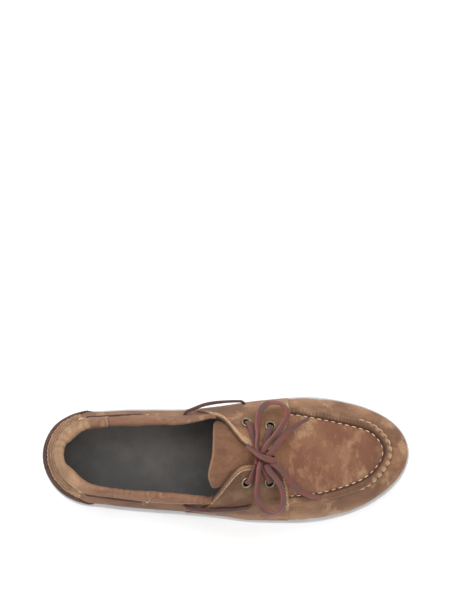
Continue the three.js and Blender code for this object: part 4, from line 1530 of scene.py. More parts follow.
@dataclass
class Patch:
    """Leather sewn on over the upper: its cut maps two shares to a place round and up the upper."""

    make: Fabricator
    cut: Callable[[Array, Array], tuple[Array, Array]]
    relief: Callable[[Array, Array], Array] | None = None
    step: float = 1.2
    round_: float = 1.1
    lift: float = 0.3
    thickness: float = 1.8
    low_share: float = 1.0
    darkening: float = 0.0

    def shares(self, length: float) -> Array:
        """Shares from 0 to 1 that crowd towards both ends, where the edge is rounded.

        Args:
            length: the patch's length that way.

        Returns:
            The shares.
        """
        edge = np.array([0, 0.12, 0.32, 0.6, 0.95])
        middle = np.linspace(1.5, length - 1.5, max(int(length / self.step), 4))
        return np.concatenate([edge, middle, length - edge[::-1]]) / length

    def grids(self) -> tuple[Array, Array, Array, Array, Array]:
        """Both faces, the outward directions, and the distances to the edges along u and along t.

        Returns:
            Five grids of the same size.
        """
        last = self.make.last
        probe = np.linspace(0, 1, 60)
        half = np.full(60, 0.5)
        long_u = length_of(last.bare(*self.cut(probe, half)))
        long_t = length_of(last.bare(*self.cut(half, probe)))
        u, t = np.meshgrid(self.shares(long_u), self.shares(long_t), indexing="ij")
        psi, v = self.cut(u, t)
        flat = last.bare(psi, v)
        normal = last.facing(psi, v)
        away = []
        for axis in (0, 1):
            step = np.linalg.norm(np.diff(flat, axis=axis), axis=-1)
            run = np.cumsum(np.insert(step, 0, 0, axis=axis), axis=axis)
            away.append(np.minimum(run, run.take([-1], axis=axis) - run))
        near = np.minimum(*away)
        crown = self.thickness * np.sqrt(clamp(1 - (1 - clamp(near / self.round_, 0.06)) ** 2))
        crown = crown * lerp(self.low_share, 1, smooth(v, 0.32, 0.58))
        under = self.relief(psi, v) if self.relief else np.zeros(psi.shape)
        wavy = 0.22 * waves(flat, 24, 11) * smooth(near, 0, 6)
        top = flat + normal * (self.lift + crown + under + wavy)[..., None]
        bottom = flat + normal * (self.lift - 0.25 + under)[..., None]
        return top, bottom, normal, away[0], away[1]

    def line(
        self, top: Array, normal: Array, away: Array, distance: float, axis: int, far: bool
    ) -> tuple[Array, Array]:
        """A path on the outer face at a distance from one edge, found on each grid line by interpolation.

        Args:
            top: the outer face's grid.
            normal: its outward directions.
            away: distances to the edges along the axis.
            distance: how far in from the edge.
            axis: 0 for an edge at the start or end of u, 1 for t.
            far: whether it is the edge at share 1.

        Returns:
            The path and its outward directions.
        """
        grids = [np.moveaxis(g, axis, 0) for g in (top, normal)]
        run = np.moveaxis(away, axis, 0)
        if far:
            grids, run = [g[::-1] for g in grids], run[::-1]
        k = np.argmax(run >= distance, axis=0)
        k = np.maximum(k, 1)
        cols = np.arange(run.shape[1])
        share = (distance - run[k - 1, cols]) / np.maximum(run[k, cols] - run[k - 1, cols], 1e-9)
        out = [g[k - 1, cols] + (g[k, cols] - g[k - 1, cols]) * share[:, None] for g in grids]
        return out[0] + out[1] * 0.1, unit(out[1])

    def build(
        self, name: str, rows: Sequence[Row], threads: Threads, rim: float = 0.0
    ) -> bpy.types.Object:
        """The sheet with its stitches.

        Args:
            name: the piece's name.
            rows: where its stitches run.
            threads: what makes them.
            rim: how worn a 5 mm band along its upper edge is.

        Returns:
            The closed sheet.
        """
        top, bottom, normal, *away = self.grids()
        near = np.minimum(*away)
        for row in rows:
            path, up = self.line(top, normal, away[row.axis], row.distance, row.axis, row.far)
            keep = slice(int(row.start * len(path)), int(row.end * len(path)))
            path, up = path[keep], up[keep]
            if row.swing:
                other, _ = self.line(top, normal, away[row.axis], row.distance + row.swing, row.axis, row.far)
                threads.zigzag(row.batch, path, other[keep], up, row.pitch, row.radius)
            else:
                threads.dashes(row.batch, path, up, row.pitch, row.pitch * 0.62, row.radius)
        share = np.linspace(0, 1, near.shape[1])[None, :]
        high = share > 0.5
        band = rim * (1 - smooth(away[1], 3.5, 6.5)) * high * (0.75 + 0.5 * waves(top, 14, 12))
        faint = lerp(self.low_share, 1, high)
        worn = faint * (0.15 + 0.75 * rim) * bump(near, 1.5, 1.3) + band
        # A darker tone over the patch's upper part, strong on the lateral flap, and a darker line right along
        # its cut edge.
        darkened = self.darkening * clamp(0.8 + 0.25 * waves(top, 45, 14)) * (1 - clamp(worn))
        darkened *= smooth(near, 0.5, 3)
        darkened *= smooth(share, 0.3, 0.75)
        values = {"worn": worn, "grime_and_shade": faint * 0.5 * (1 - smooth(near, 0, 0.6)) + darkened}
        return self.make.shell(name, top, bottom, {k: clamp(v) for k, v in values.items()})


@dataclass(frozen=True)
class Row:
    """A row of stitches along one edge of a patch: dashes, or a zigzag where swing isn't zero."""

    axis: int
    far: bool
    distance: float
    pitch: float = 3.2
    swing: float = 0.0
    radius: float = 0.3
    batch: str = "tan"
    start: float = 0.0
    end: float = 1.0


@dataclass
class Saddles:
    """The two flaps that carry the eyelets."""

    make: Fabricator
    seam: MocSeam
    foot: tuple[float, float] = (0.385, 0.668)
    top: tuple[float, float] = (0.462, 0.618)

    def cut(self, side: Side) -> Callable[[Array, Array], tuple[Array, Array]]:
        """The flap's cut: psi at lerp(foot, top, t to a power that shapes the front edge), v to the throat.

        Args:
            side: the side of the foot.

        Returns:
            What maps two shares to a place round and up the upper.
        """
        last = self.make.last

        def place(u: Array, t: Array) -> tuple[Array, Array]:
            """The place of a share u along the flap and t up it.

            Args:
                u: shares along the flap.
                t: shares up it.

            Returns:
                Angles and places up the sections.
            """
            at = lerp(lerp(*self.foot, u), lerp(*self.top, u), t ** lerp(2.0, 7.0, u**3))
            psi = last.psi_at(side, at)
            edge = np.minimum(last.edge_place(psi), Place.RIDGE - 0.02) + 0.004
            return psi, lerp(Place.FOOT.value, edge, t)

        return place

    def build(self, side: Side, threads: Threads) -> bpy.types.Object:
        """One flap with tan zigzags along the throat and the front edge and dark dashes up the rear.

        Args:
            side: the side of the foot.
            threads: what makes the stitches.

        Returns:
            The flap.
        """
        rows = (
            Row(1, True, 2.8, 2.6, 1.3, 0.3, "tan"),
            Row(0, True, 1.4, 2.8, 1.5, 0.3, "tan", 0.5),
            Row(0, False, 1.8, 3.2, 0, 0.28, "dark", 0.45),
        )
        darkening = 0.75 if side is Side.LATERAL else 0.06
        patch = Patch(self.make, self.cut(side), self.seam.relief, low_share=0.2, darkening=darkening)
        return patch.build(f"flap_{side.name.lower()}", rows, threads, 0.85 if side is Side.MEDIAL else 0.12)


@dataclass
class Heel:
    """The darker counter, the tab over it and the padded collar."""

    make: Fabricator
    counter_reach: float = 0.145
    tab_reach: float = 0.106
    open_from: float = 0.455
    laps: tuple[tuple[Side, float, float], ...] = (
        (Side.MEDIAL, 0.185, 0.75),
        (Side.LATERAL, 0.285, 0.5),
    )
    past: dict[Side, float] = field(default_factory=lambda: {Side.LATERAL: 0.006, Side.MEDIAL: 0.017})
    inward: Table = Table(
        ("medial", "lateral"),
        (
            (0, -1.5, -1.5),
            (0.0095, -1.1, -0.9),
            (0.02, 0.3, 0.9),
            (0.032, 1.4, 2.3),
            (0.05, 1.7, 3.0),
            (0.075, 1.3, 2.5),
            (0.11, 0.4, 1.1),
            (0.135, -0.4, -0.4),
            (0.17, -1, -2),
            (0.24, -0.9, -1.4),
            (0.3, -1.1, -1.1),
            (0.36, -1.3, -1.6),
            (0.4, -1.5, -0.2),
            (0.435, -1.6, 1.2),
            (1, -1.6, 1.2),
        ),
    )

    def counter(self, threads: Threads) -> bpy.types.Object:
        """A band round the heel's outside, a little shorter towards its top.

        Args:
            threads: what makes the stitches.

        Returns:
            The band.
        """
        reach = float(self.make.last.psi_at(Side.LATERAL, self.counter_reach))
        cut = lambda u, t: (reach * (2 * u - 1) * (1 - 0.2 * t**1.5), lerp(Place.FOOT.value, 0.4, t))
        edges = ((1, True), (0, False), (0, True))
        rows = [Row(axis, far, 1.6, 3.4, batch="dark") for axis, far in edges]
        return Patch(self.make, cut, lift=0.1, thickness=0.9).build("heel_counter", rows, threads)

    def tab(self, threads: Threads) -> bpy.types.Object:
        """A strip over the counter; its edges ripple, as its leather was drawn in when it was sewn.

        Args:
            threads: what makes the stitches.

        Returns:
            The strip.
        """
        reach = float(self.make.last.psi_at(Side.LATERAL, self.tab_reach))
        ripple = lambda u: 0.012 * np.abs(np.sin(np.pi * 21 * u)) + 0.005 * np.sin(2 * np.pi * 7.3 * u)
        cut = lambda u, t: (reach * (2 * u - 1), lerp(0.415, 0.585, t) + ripple(u) * (t - 1))
        rows = (Row(1, True, 1.0, 3.6, 1.4, 0.3, "dark"), Row(1, False, 1.7, 3.4, 0, 0.26, "tan"))
        return Patch(self.make, cut, thickness=1.1).build("back_tab", rows, threads, 0.4)

    def collar(self) -> bpy.types.Object:
        """A padded roll over the edge; its leather laps over itself, is gathered and has a rubbed hem.

        The section is given as (outward, up) from the shoulder. Its points outside, below the edge, reach
        lower along the quarters than behind the heel, where the tab lies. Soft noise pushes it all out.

        Returns:
            The closed roll.
        """
        last = self.make.last
        lateral, medial = (float(last.psi_at(side, self.open_from + self.past[side])) for side in Side)
        psi = np.linspace(medial, lateral, 460)
        outer = [(0.2, -1.0), (0.85, -0.96), (1.2, -0.82), (1.35, -0.4), (1.3, 0)]
        upper = [(1.25, 2), (1.0, 4.2), (0.35, 6.4), (-0.9, 8.3), (-2.4, 9.3), (-3.9, 9.3), (-5.4, 8.4)]
        inner = [(-6.4, 6.8), (-6.95, 4.6), (-6.8, 2.2), (-6.2, 0.2), (-5.2, -1.6), (-3.8, -2.8)]
        inner += [(-2.4, -3.2), (-1, -3)]
        section = np.array(outer + upper + inner)
        closed = np.concatenate([section, section[:1]])
        fine = self.smooth_ring(closed, 46)
        at = share_at(psi)
        low = lerp(0.6, 2.4, smooth(at, 0.085, 0.13))
        n, h = fine[None, :, 0], fine[None, :, 1]
        outside = smooth(n, -2.0, 0.2)
        h = np.where((h < 0) & (h >= -1.01), lerp(h, h * low[:, None], outside), h)
        edge = last.edge_place(psi)
        base = last.bare(psi, edge)
        out = last.facing(psi, edge)
        up = unit(last.bare(psi, edge + 0.02) - last.bare(psi, edge - 0.02))
        end = smooth(np.minimum(psi[-1] - psi, psi - psi[0]), 0, 0.24)[:, None]
        h = np.where(h > 0, h * lerp(0.22, 1, end), h)
        more = np.where(psi < 0, self.inward.read("medial", at), self.inward.read("lateral", at))[:, None]
        n = np.where(n < 0, n * (lerp(0.5, 1, end) + more / 6.95), n * 0.7)
        points = base[:, None] + out[:, None] * n[..., None] + up[:, None] * h[..., None]
        centre = (base - 3 * out + 4 * up)[:, None]
        away = unit(points - centre)
        run = distances(base)[:, None]
        gather = 0.16 * np.sin(2 * np.pi * run / 7.3 + 4.5 * waves(points, 34, 21))
        gather = gather * clamp(0.2 + 1.2 * waves(points, 38, 22))
        lap, seam_light, seam_dark = 0, 0, 0
        for side, where, depth in self.laps:
            nearest = np.argmin(np.abs(psi - float(last.psi_at(side, where))))
            step = run[nearest] + 1.7 * np.cos(np.pi * (h - 4) / 12)
            over = np.where(run > step, np.exp(-(run - step) / 16), 0)
            lap += depth * over * smooth(np.abs(run - step), 0, 0.8)
            seam_light += 0.8 * depth * bump(run - step, 0.8, 0.6)
            seam_dark += 0.8 * depth * bump(run - step, -0.3, 0.6)
        soft = (0.5 * waves(points, 38, 23) + 0.22 * waves(points, 12, 24) + gather + lap) * lerp(0.4, 1, end)
        points = points + away * soft[..., None]
        # Painted shade beside each lap and in the hollows of the gathers.
        crease = seam_dark + 0.5 * clamp(-gather * 3)
        rub = 0.2 * clamp(waves(points, 40, 25)) + 0.38 * (1 - smooth(at, 0.05, 0.17))[:, None] + seam_light
        hem = (psi > 0) * smooth(at, 0.2, 0.27) * (1 - smooth(at, 0.44, 0.46))
        rub += 0.6 * hem[:, None] * (n > 0) * bump(h, -0.7, 1.2) * clamp(0.8 + 0.6 * waves(points, 16, 26))
        return self.make.loft("collar_roll", points, {"grime_and_shade": clamp(crease), "worn": clamp(rub)})

    @staticmethod
    def smooth_ring(points: Array, count: int) -> Array:
        """Even points round a closed section, on a smooth curve through the given ones."""
        deep = np.concatenate([points, np.zeros((len(points), 1))], -1)
        return through(deep, count + 1)[:-1, :2]


@dataclass
class Tongue:
    """The wide tongue under the flaps, with its cut rear edge."""

    make: Fabricator
    front: float = 0.66
    half_back: tuple[float, float] = (40, 29.5)
    half_front: float = 19
    thickness: float = 2.2
    rear_edge: Table = Table(
        ("at",),
        (
            (-1, 0.4705),
            (-0.8, 0.4625),
            (-0.4, 0.468),
            (-0.1, 0.4685),
            (0.2, 0.4625),
            (0.6, 0.4535),
            (0.85, 0.457),
            (1, 0.468),
        ),
    )

    def build(self) -> bpy.types.Object:
        """A sheet whose faces follow the upper's inside, rounded at the edge and gently waved.

        Returns:
            The closed sheet.
        """
        last = self.make.last
        across = np.sin(np.linspace(-1, 1, 90) * np.pi / 2)[:, None]
        t = np.concatenate([[0, 0.004, 0.01, 0.018], np.linspace(0.03, 1, 70)])[None, :]
        at = lerp(self.rear_edge.read("at", across), self.front, t)
        medial, lateral = self.half_back
        share = clamp((at - 0.463) / (self.front - 0.463))
        half = lerp(np.where(across < 0, medial, lateral), self.half_front, np.sqrt(share))
        psi = np.where(across < 0, -1, 1) * last.psi_at(Side.LATERAL, at)
        from_ridge = np.abs(across) * half
        v = np.where(from_ridge < 1e-6, 1.0, last.place_at_reach(psi, from_ridge))
        base = last.bare(psi, v)
        normal = last.facing(psi, v)
        side = (1 - np.abs(across)) * half
        near = np.minimum(side, (at - at[:, :1]) * last.sole_length)
        crown = self.thickness * (1 - np.sqrt(clamp(1 - (1 - clamp(near / 1.0, 0.05)) ** 2)))
        droop = 0.7 * np.exp(-(at - at[:, :1]) * last.sole_length / 6)
        bends = 0.42 * waves(base, 26, 31) + 0.12 * waves(base, 9, 32)
        calm = 1 - smooth(at, 0.49, 0.53)
        clear = last.wall + 5 * last.gap
        top = base - normal * (clear + crown + droop - bends * calm)[..., None]
        bottom = base - normal * (clear + self.thickness + 0.3 * droop - bends * calm)[..., None]
        values = {
            "worn": clamp(0.32 * bump(near, 0.5, 0.6)),
            "grime_and_shade": clamp(0.35 * (1 - smooth(near, 0, 0.25))),
        }
        return self.make.shell("tongue_sheet", top, bottom, values)


@dataclass
class Bartacks:
    """Short pale bars of stitches where the side lace goes in under the leather and at the tab's ends."""

    make: Fabricator
    places: tuple[tuple[Side, float, float], ...] = (
        (Side.MEDIAL, 0.287, 0.53),
        (Side.LATERAL, 0.287, 0.53),
        (Side.LATERAL, 0.17, 0.52),
    )
    ends: tuple[tuple[Side, float], ...] = ((Side.MEDIAL, 0.1), (Side.LATERAL, 0.1))
    reach: float = 0.04
    lift: float = 0.35

    def build(self, threads: Threads) -> None:
        """Three stitches up the section at each place, and two along the edge at each end of the tab.

        Args:
            threads: what makes the stitches.
        """
        last = self.make.last
        for side, at, v in self.places:
            psi = last.psi_at(side, at + np.array([-0.0022, 0, 0.0022]))
            low, high = np.full(3, v - self.reach / 2), np.full(3, v + self.reach / 2)
            start, end = last.skin(psi, low, self.lift), last.skin(psi, high, self.lift)
            threads.keep("pale", threads.capsules(start, end, last.facing(psi, low), 0.36))
        for side, at in self.ends:
            psi = last.psi_at(side, at + np.array([-0.006, 0.011]))
            edge = last.edge_place(psi)
            out = last.facing(psi, edge)
            up = unit(last.bare(psi, edge + 0.02) - last.bare(psi, edge - 0.02))
            for aside, above in ((1.75, 1.4), (1.45, 3.3)):
                line = last.bare(psi, edge) + out * aside + up * above
                threads.keep("pale", threads.capsules(line[:1], line[1:], out[:1], 0.32))


@dataclass(frozen=True)
class Spot:
    """An eyelet's place: its side and end, a share of the length and the distance from the ridge."""

    side: Side
    end: str
    at: float
    from_ridge: float


@dataclass
class Eyelets:
    """Rolled brass eyelets and the bores they sit in.

    A bore cuts only faces nearer to its centre than near, and no farther along its axis than deep.
    """

    make: Fabricator
    bore: float = 2.8
    outer: float = 3.3
    flange: float = 4.3
    lip: float = 0.9
    near: float = 7.0
    deep: float = 3.2
    spots: tuple[Spot, ...] = (
        Spot(Side.MEDIAL, "rear", 0.553, 25.5),
        Spot(Side.MEDIAL, "front", 0.6145, 23),
        Spot(Side.LATERAL, "rear", 0.55, 18.5),
        Spot(Side.LATERAL, "front", 0.612, 19),
    )

    def stand(self, spot: Spot) -> tuple[Array, Array]:
        """A spot's point on the bare upper and its outward direction.

        Args:
            spot: the eyelet's place.

        Returns:
            The point and the direction.
        """
        last = self.make.last
        psi = last.psi_at(spot.side, spot.at)
        v = last.place_at_reach(psi, spot.from_ridge)
        return last.bare(psi, v), last.facing(psi, v)

    def top(self) -> float:
        """Height of the flange's underside over the upper's skin."""
        last = self.make.last
        return 2 * last.gap + last.overlay

    def drill(self, *objects: bpy.types.Object) -> None:
        """Cuts every eyelet's bore through sheets, moves the cut's edge to a circle and walls it.

        Args:
            objects: the sheets.
        """
        for obj in objects:
            work = bmesh.new()
            work.from_mesh(obj.data)
            for spot in self.spots:
                place, axis = self.stand(spot)
                centre = Vector((place + self.make.last.shift) * MM)
                way = Vector(axis)
                radius = (self.outer + 0.1) * MM

                def aside(point: Vector) -> Vector:
                    """The way from the bore's axis to a point."""
                    return (point - centre) - way * (point - centre).dot(way)

                close = [
                    f
                    for f in work.faces
                    if (f.calc_center_median() - centre).length < self.near * MM
                    and aside(f.calc_center_median()).length < radius
                    and abs((f.calc_center_median() - centre).dot(way)) < self.deep * MM
                ]
                if not close:
                    continue
                bmesh.ops.delete(work, geom=close, context="FACES")
                rim = [e for e in work.edges if e.is_boundary]
                for vert in {v for e in rim for v in e.verts}:
                    off = aside(vert.co)
                    vert.co += off.normalized() * (radius - off.length)
                bmesh.ops.bridge_loops(work, edges=rim)
            bmesh.ops.recalc_face_normals(work, faces=work.faces)
            work.to_mesh(obj.data)
            work.free()

    def build(self, spot: Spot) -> bpy.types.Object:
        """One eyelet: a closed profile turned about the upper's outward direction.

        Args:
            spot: where it sits.

        Returns:
            The closed ring.
        """
        place, axis = self.stand(spot)
        top, lip = self.top(), self.lip
        bore, outer, flange = self.bore, self.outer, self.flange
        profile = [(bore, -2.55), (4.3, -2.5), (4.4, -2.3), (4.2, -2.15), (outer, -2.1), (outer, top)]
        profile += [(flange - 0.15, top - 0.1), (flange + 0.25, top + 0.15), (flange + 0.2, top + 0.5)]
        profile += [(4.15, top + 0.8), (3.75, top + lip), (3.35, top + 0.9), (3.02, top + 0.7)]
        profile += [(2.86, top + 0.36), (bore, top - 0.1), (bore, -1)]
        r, h = np.array(profile).T
        a = np.linspace(0, 2 * np.pi, 56, endpoint=False)[:, None]
        side = unit(np.cross(axis, [0, 1, 0]))
        other = np.cross(axis, side)
        ring = side * np.cos(a) + other * np.sin(a)
        points = place + axis * h[None, :, None] + ring[:, None] * r[None, :, None]
        faces = self.make.quads(*points.shape[:2], True, True)
        dirt = clamp(0.8 * (np.abs(h - top) < 0.3) * (r > 4))
        name = f"eyelet_ring_{spot.side.name.lower()}_{spot.end}"
        return self.make.mesh(name, points, faces, {"grime_and_shade": np.tile(dirt, (len(a), 1))}, weld=True)


@dataclass(frozen=True)
class Route:
    """A cord of the bow, by points given as (share of the length, X in sole widths, lift in laces).

    The lead and the tail are points inside the knot, which the part's own route hasn't got.
    """

    name: str
    far_end: str
    points: tuple[RoutePoint, ...]
    turn: float = 0.0
    twist: float = 0.0
    taper: float = 0.0
    lead: tuple[RoutePoint, ...] = ()
    tail: tuple[RoutePoint, ...] = ()


@dataclass
class Lace:
    """All of the rawhide lace: along the sides, through the eyelets, the knot, its loops and its ends."""

    make: Fabricator
    eyelets: Eyelets
    diameter: float = 3.0
    strip: Strand = field(default_factory=lambda: Strand(5.0, 2.5, 20, 3.6))
    crossing: RoutePoint = (0.588, 0.03, 0.7)
    routes: tuple[Route, ...] = (
        Route(
            "lace_knot",
            "knot",
            (
                (0.552, -0.066, 2.3),
                (0.566, -0.036, 2.7),
                (0.584, 0.004, 3.0),
                (0.604, 0.03, 2.9),
                (0.622, 0.045, 2.2),
                (0.627, 0.058, 1.1),
                (0.612, 0.066, 0.5),
                (0.59, 0.06, 0.5),
                (0.574, 0.045, 1.2),
            ),
            -0.75,
        ),
        Route(
            "lace_loop_medial",
            "knot",
            (
                (0.58, -0.047, 1.7),
                (0.582, -0.15, 1.8),
                (0.582, -0.24, 1.8),
                (0.59, -0.34, 3.2),
                (0.612, -0.405, 5.2),
                (0.645, -0.395, 5.4),
                (0.662, -0.33, 4),
                (0.652, -0.25, 2.6),
                (0.628, -0.15, 1.9),
                (0.603, -0.062, 2.2),
            ),
            0.7,
            lead=((0.587, 0.005, 1.4),),
            tail=((0.594, -0.01, 1.6),),
        ),
        Route(
            "lace_loop_lateral",
            "knot",
            (
                (0.585, 0.112, 1.9),
                (0.582, 0.2, 2),
                (0.58, 0.28, 2.2),
                (0.586, 0.36, 3.8),
                (0.602, 0.42, 6.5),
                (0.624, 0.44, 8),
                (0.642, 0.41, 6.5),
                (0.65, 0.34, 4),
                (0.646, 0.26, 2.8),
                (0.63, 0.18, 2.2),
                (0.612, 0.119, 1.9),
            ),
            -0.6,
            lead=((0.59, 0.055, 1.5),),
            tail=((0.603, 0.07, 1.6),),
        ),
        Route(
            "lace_end_medial",
            "bare",
            (
                (0.619, -0.02, 1.9),
                (0.636, -0.09, 2.2),
                (0.652, -0.15, 1),
                (0.668, -0.2, 0.6),
                (0.69, -0.245, 0.5),
                (0.719, -0.29, 0.8),
            ),
            0.4,
            0.9,
            0.4,
            ((0.606, 0.012, 1.7),),
        ),
        Route(
            "lace_end_lateral",
            "bare",
            (
                (0.631, 0.082, 1.5),
                (0.652, 0.14, 1.4),
                (0.668, 0.2, 0.8),
                (0.69, 0.255, 0.5),
                (0.715, 0.295, 0.6),
                (0.75, 0.318, 1.4),
            ),
            -0.4,
            -1.1,
            0.35,
            ((0.615, 0.05, 1.5),),
        ),
    )

    def over_flaps(self, rows: Sequence[RoutePoint]) -> tuple[Array, Array]:
        """Points over the flaps and eyelets, and the upper's outward direction under each.

        Args:
            rows: points as a route gives them.

        Returns:
            The points and the directions.
        """
        last = self.make.last
        at, x, lift = np.array(rows).T
        psi, v = last.under(x * last.sole_width, last.along_y(at))
        points = last.bare(psi, v)
        points[:, 0], points[:, 1] = x * last.sole_width, last.along_y(at)
        points[:, 2] += self.eyelets.top() + self.eyelets.lip + (lift + 0.5) * self.diameter
        return points, last.facing(psi, v)

    def strand(
        self, name: str, path: Array, up: Array, strip: Strand, taper: float = 0.0
    ) -> bpy.types.Object:
        """A strip along a path, its cut sides marked for the finish.

        Args:
            name: the piece's name.
            path: the centre line.
            up: the way its flat side faces at each point.
            strip: its section.
            taper: how much thinner the far end is, as a share.

        Returns:
            The closed strip.
        """
        loops = strip.sweep(path, up, taper)
        a = np.linspace(0, 2 * np.pi, strip.sides, endpoint=False)
        edge = smooth(np.abs(np.cos(a)), 0.72, 0.98)[None, :] * (0.75 + 0.25 * waves(loops, 9, 41))
        return self.make.loft(name, loops, {"edge": clamp(edge)})

    def turned(self, path: Array, up: Array, turn: float, twist: float) -> Array:
        """Up directions turned about the path as rawhide rolls.

        Args:
            path: the centre line.
            up: the way the flat side faces at each point.
            turn: the most it rolls to and fro, in radians.
            twist: how far it turns over its far half, in radians.

        Returns:
            The turned directions.
        """
        along = unit(np.gradient(path, axis=0))
        side = unit(np.cross(along, up))
        t = np.linspace(0, 1, len(path))[:, None]
        angle = turn * np.sin(np.pi * (1.6 * t + 0.25)) + twist * smooth(t, 0.4, 0.85)
        return up * np.cos(angle) + side * np.sin(angle)

    def bow(self) -> list[bpy.types.Object]:
        """The knot, both loops and both ends.

        Returns:
            The strips, in order.
        """
        found = []
        for route in self.routes:
            points, up = self.over_flaps(route.lead + route.points + route.tail)
            count = max(int(length_of(through(points, 60)) / 0.9), 30)
            path = through(points, count)
            ups = read_rows(up, np.linspace(0, 1, len(up)), np.linspace(0, 1, count))
            ups = self.turned(path, ups, route.turn, route.twist)
            obj = self.strand(f"{route.name}_strip", path, ups, self.strip, route.taper)
            length_of(path) * MM
            log.info("%s is %.1f mm long", route.name, length_of(path))
            found.append(obj)
        return found

    def bars(self) -> list[bpy.types.Object]:
        """Two strands: each comes up a rear eyelet, crosses the slot and goes down the front one opposite.

        Returns:
            The strands.
        """
        middle, _ = self.over_flaps([self.crossing])
        found = []
        spots = self.eyelets.spots
        for n, (a, b) in enumerate(((spots[0], spots[3]), (spots[2], spots[1]))):
            halves = []
            for spot in (a, b):
                place, normal = self.eyelets.stand(spot)
                over = middle[0] + np.array([0, 0, 1.4 * n - 1.5])
                toward = over - place
                toward = unit(toward - normal * (toward @ normal))
                top = self.eyelets.top() + self.eyelets.lip
                steps = [(0, -3.0), (0, -0.5), (0.1, top - 0.6), (1.1, top + 0.9)]
                steps += [(3.0, top + 1.6), (5.4, top + 1.1)]
                path = [place + toward * run + normal * lift for run, lift in steps]
                between, _ = self.over_flaps([self.plan_row(lerp(path[-1], over, 0.5), 0.1)])
                halves.append((np.array([*path, between[0], over]), normal - toward))
            (one, up_one), (two, up_two) = halves
            path = through(np.concatenate([one, two[-2::-1]]), 90)
            t = smooth(np.linspace(0, 1, len(path)), 0.42, 0.58)[:, None]
            ups = lerp(up_one, up_two, t)
            found.append(self.strand(f"lace_bar_{n + 1}", path, ups, Strand(4.8, 2.2, 18, 3.6)))
        return found

    def plan_row(self, point: Array, lift: float) -> RoutePoint:
        """A point's place as a row of over_flaps."""
        last = self.make.last
        return float(last.share_of(point[1])), float(point[0] / last.sole_width), lift

    def sides(self) -> dict[str, bpy.types.Object]:
        """Where the lace shows along the quarters, its ends going in under the leather.

        Returns:
            The strands by the names of their solids.
        """
        last = self.make.last
        rows = (
            ("side_lace_medial_rear", Side.MEDIAL, 0.115, 0.28, 0.56, 0.545, 0.0),
            ("side_lace_medial_front", Side.MEDIAL, 0.385, 0.55, 0.5, 0.47, 3.0),
            ("side_lace_lateral_rear", Side.LATERAL, 0.115, 0.28, 0.56, 0.545, 0.0),
            ("side_lace_lateral_front", Side.LATERAL, 0.385, 0.565, 0.5, 0.59, 0.0),
        )
        found = {}
        for name, side, start, end, low, high, bow in rows:
            t = np.linspace(0, 1, 90)
            at = lerp(start, end, t)
            psi, v = last.psi_at(side, at), lerp(low, high, t)
            rear = name.endswith("rear")
            lift = (0.9 if rear else 1.9) + last.overlay * smooth(at, 0.385, 0.45) + bow * np.sin(np.pi * t)
            lift -= 2.0 * (1 - smooth(np.minimum(t, 1 - t), 0, 0.06))
            path = last.skin(psi, v, lift)
            up = last.facing(psi, v) + 0.25 * np.sin(5 * t)[:, None] * np.array([0, 0, 1.0])
            strip = Strand(1.8, 1.6) if rear else Strand(4.2 if side is Side.LATERAL else 3.4, 2.1)
            found[name] = self.strand(f"{name}_strip", path, up, strip)
        return found


# Studio


@dataclass
class Studio:
    """A pale floor, soft lights and a camera high above the shoe."""

    distance: float = 1.8
    lens: float = 133.7
    tilt: float = 3.0
    aim: float = -0.1303
    along: float = -0.0008
    floor_size: float = 6.0
    background: float = 0.93
    key: float = 31.0

    def camera(self) -> None:
        """Looks down with the toe to the right: right is +Y and up is about -X."""
        place = self.distance * np.array([np.sin(np.radians(self.tilt)), 0, np.cos(np.radians(self.tilt))])
        place[1] = self.along
        back = unit(place - np.array([self.aim, self.along, 0]))
        right = np.array([0, 1.0, 0])
        up = np.cross(back, right)
        data = bpy.data.cameras.new("camera")
        data.lens, data.sensor_width, data.clip_end = self.lens, 36, 20
        obj = bpy.data.objects.new("camera", data)
        matrix = Matrix.Identity(4)
        for i, column in enumerate((right, up, back, place)):
            for k in range(3):
                matrix[k][i] = column[k]
        obj.matrix_world = matrix
        bpy.context.scene.collection.objects.link(obj)
        bpy.context.scene.camera = obj

    def floor(self) -> None:
        """A wide pale floor under the sole."""
        half = self.floor_size / 2
        data = bpy.data.meshes.new("floor")
        corners = [(-half, -half, 0), (half, -half, 0), (half, half, 0), (-half, half, 0)]
        data.from_pydata(corners, [], [(0, 1, 2, 3)])
        obj = bpy.data.objects.new("floor", data)
        recipe = Recipe("floor")
        data.materials.append(recipe.finish((0.98, 0.98, 0.98), 0.9))
        bpy.context.scene.collection.objects.link(obj)
        obj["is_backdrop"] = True

    def lights(self) -> None:
        """A big soft light from above the inner side, a weaker one opposite, and an even surround."""
        for name, place, size, power in (
            ("key", (-1.2, -0.25, 1.8), 2.0, self.key),
            ("fill", (1.0, 0.9, 1.9), 1.8, self.key * 0.5),
        ):
            data = bpy.data.lights.new(name, "AREA")
            data.energy, data.size = power, size
            obj = bpy.data.objects.new(name, data)
            obj.location = place
            obj.rotation_euler = Vector(place).to_track_quat("Z", "Y").to_euler()
            bpy.context.scene.collection.objects.link(obj)
            obj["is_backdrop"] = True
        world = bpy.data.worlds.new("surround")
        bpy.context.scene.world = world
        world.use_nodes = True
        node = world.node_tree.nodes["Background"]
        node.inputs["Color"].default_value = (1, 1, 1, 1)
        node.inputs["Strength"].default_value = self.background
        bpy.context.scene.view_settings.view_transform = "Standard"


def plain_bounds() -> object:
    """The object's bounds as plain lists.

    Returns:
        The bounds.
    """

    def plain(value: object) -> object:
        """A value with its vectors as lists.

        Args:
            value: any value of the bounds.

        Returns:
            The same in lists.
        """
        if isinstance(value, dict):
            return {key: plain(item) for key, item in value.items()}
        if isinstance(value, (int, float, str)) or value is None:
            return value
        return [plain(item) for item in value]

    return plain(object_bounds())


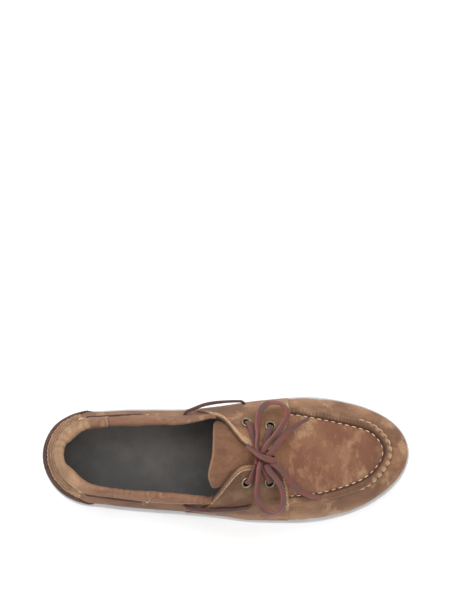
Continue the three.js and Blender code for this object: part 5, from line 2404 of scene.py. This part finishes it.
def build_shoe(make: Fabricator, finishes: Finishes) -> None:
    """Makes every piece in order, cords first.

    Args:
        make: puts points into meshes.
        finishes: the materials.
    """
    seam = MocSeam(make)
    threads = Threads(make)
    eyelets = Eyelets(make)
    lace = Lace(make, eyelets)
    for obj, route in zip(lace.bow(), lace.routes):
        dress(obj, finishes.rawhide, "rawhide", route.name)
    for obj in lace.bars():
        dress(obj, finishes.rawhide, "rawhide", "lace_bars")
    for name, obj in lace.sides().items():
        dress(obj, finishes.shaded_side_rawhide, "rawhide", name)
    for spot in eyelets.spots:
        name = f"eyelet_{spot.side.name.lower()}_{spot.end}"
        dress(eyelets.build(spot), finishes.brass, "brass", name)
    sole = Sole(make)
    dress(sole.outsole(), finishes.rubber, "rubber", "outsole")
    dress(sole.footbed(), finishes.footbed, "footbed", "insole")
    shell = dress(Upper(make, seam).shell(), finishes.nubuck, "suede", "upper")
    saddles = Saddles(make, seam)
    flaps = []
    for side in Side:
        flap = saddles.build(side, threads)
        flaps.append(dress(flap, finishes.nubuck, "suede", f"saddle_{side.name.lower()}"))
    eyelets.drill(shell, *flaps)
    heel = Heel(make)
    dress(heel.counter(threads), finishes.counter, "dark_leather", "heel_counter")
    dress(heel.tab(threads), finishes.nubuck, "suede", "back_tab")
    roll = dress(heel.collar(), finishes.collar, "suede", "collar")
    dress(Tongue(make).build(), finishes.tongue, "suede", "tongue")
    seam.stitches(threads)
    Bartacks(make).build(threads)
    for batch in threads.batches:
        obj = threads.build(batch)
        thread = {"dark": finishes.dark_thread, "tan": finishes.tan_thread}.get(batch, finishes.thread)
        dress(obj, thread, "suede")


def main() -> None:
    """Loads the frame, builds the studio and the shoe, and reads the scene's bounds before and after."""
    logging.basicConfig(level=logging.INFO, format="%(name)s: %(message)s", stream=sys.stdout)
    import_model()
    sizes = {"loaded": plain_bounds()}
    last = Last()
    outline = last.outline(np.linspace(0, 2 * np.pi, 4001))
    low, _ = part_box("outsole")
    last.shift = np.array([low.x / MM - outline[:, 0].min(), low.y / MM - outline[:, 1].min(), 0.0])
    log.info("the last is moved by %s mm", np.round(last.shift, 3))
    studio = Studio()
    studio.camera()
    build_shoe(Fabricator(last), Finishes())
    studio.floor()
    studio.lights()
    sizes["finished"] = plain_bounds()


if __name__ == "__main__":
    main()
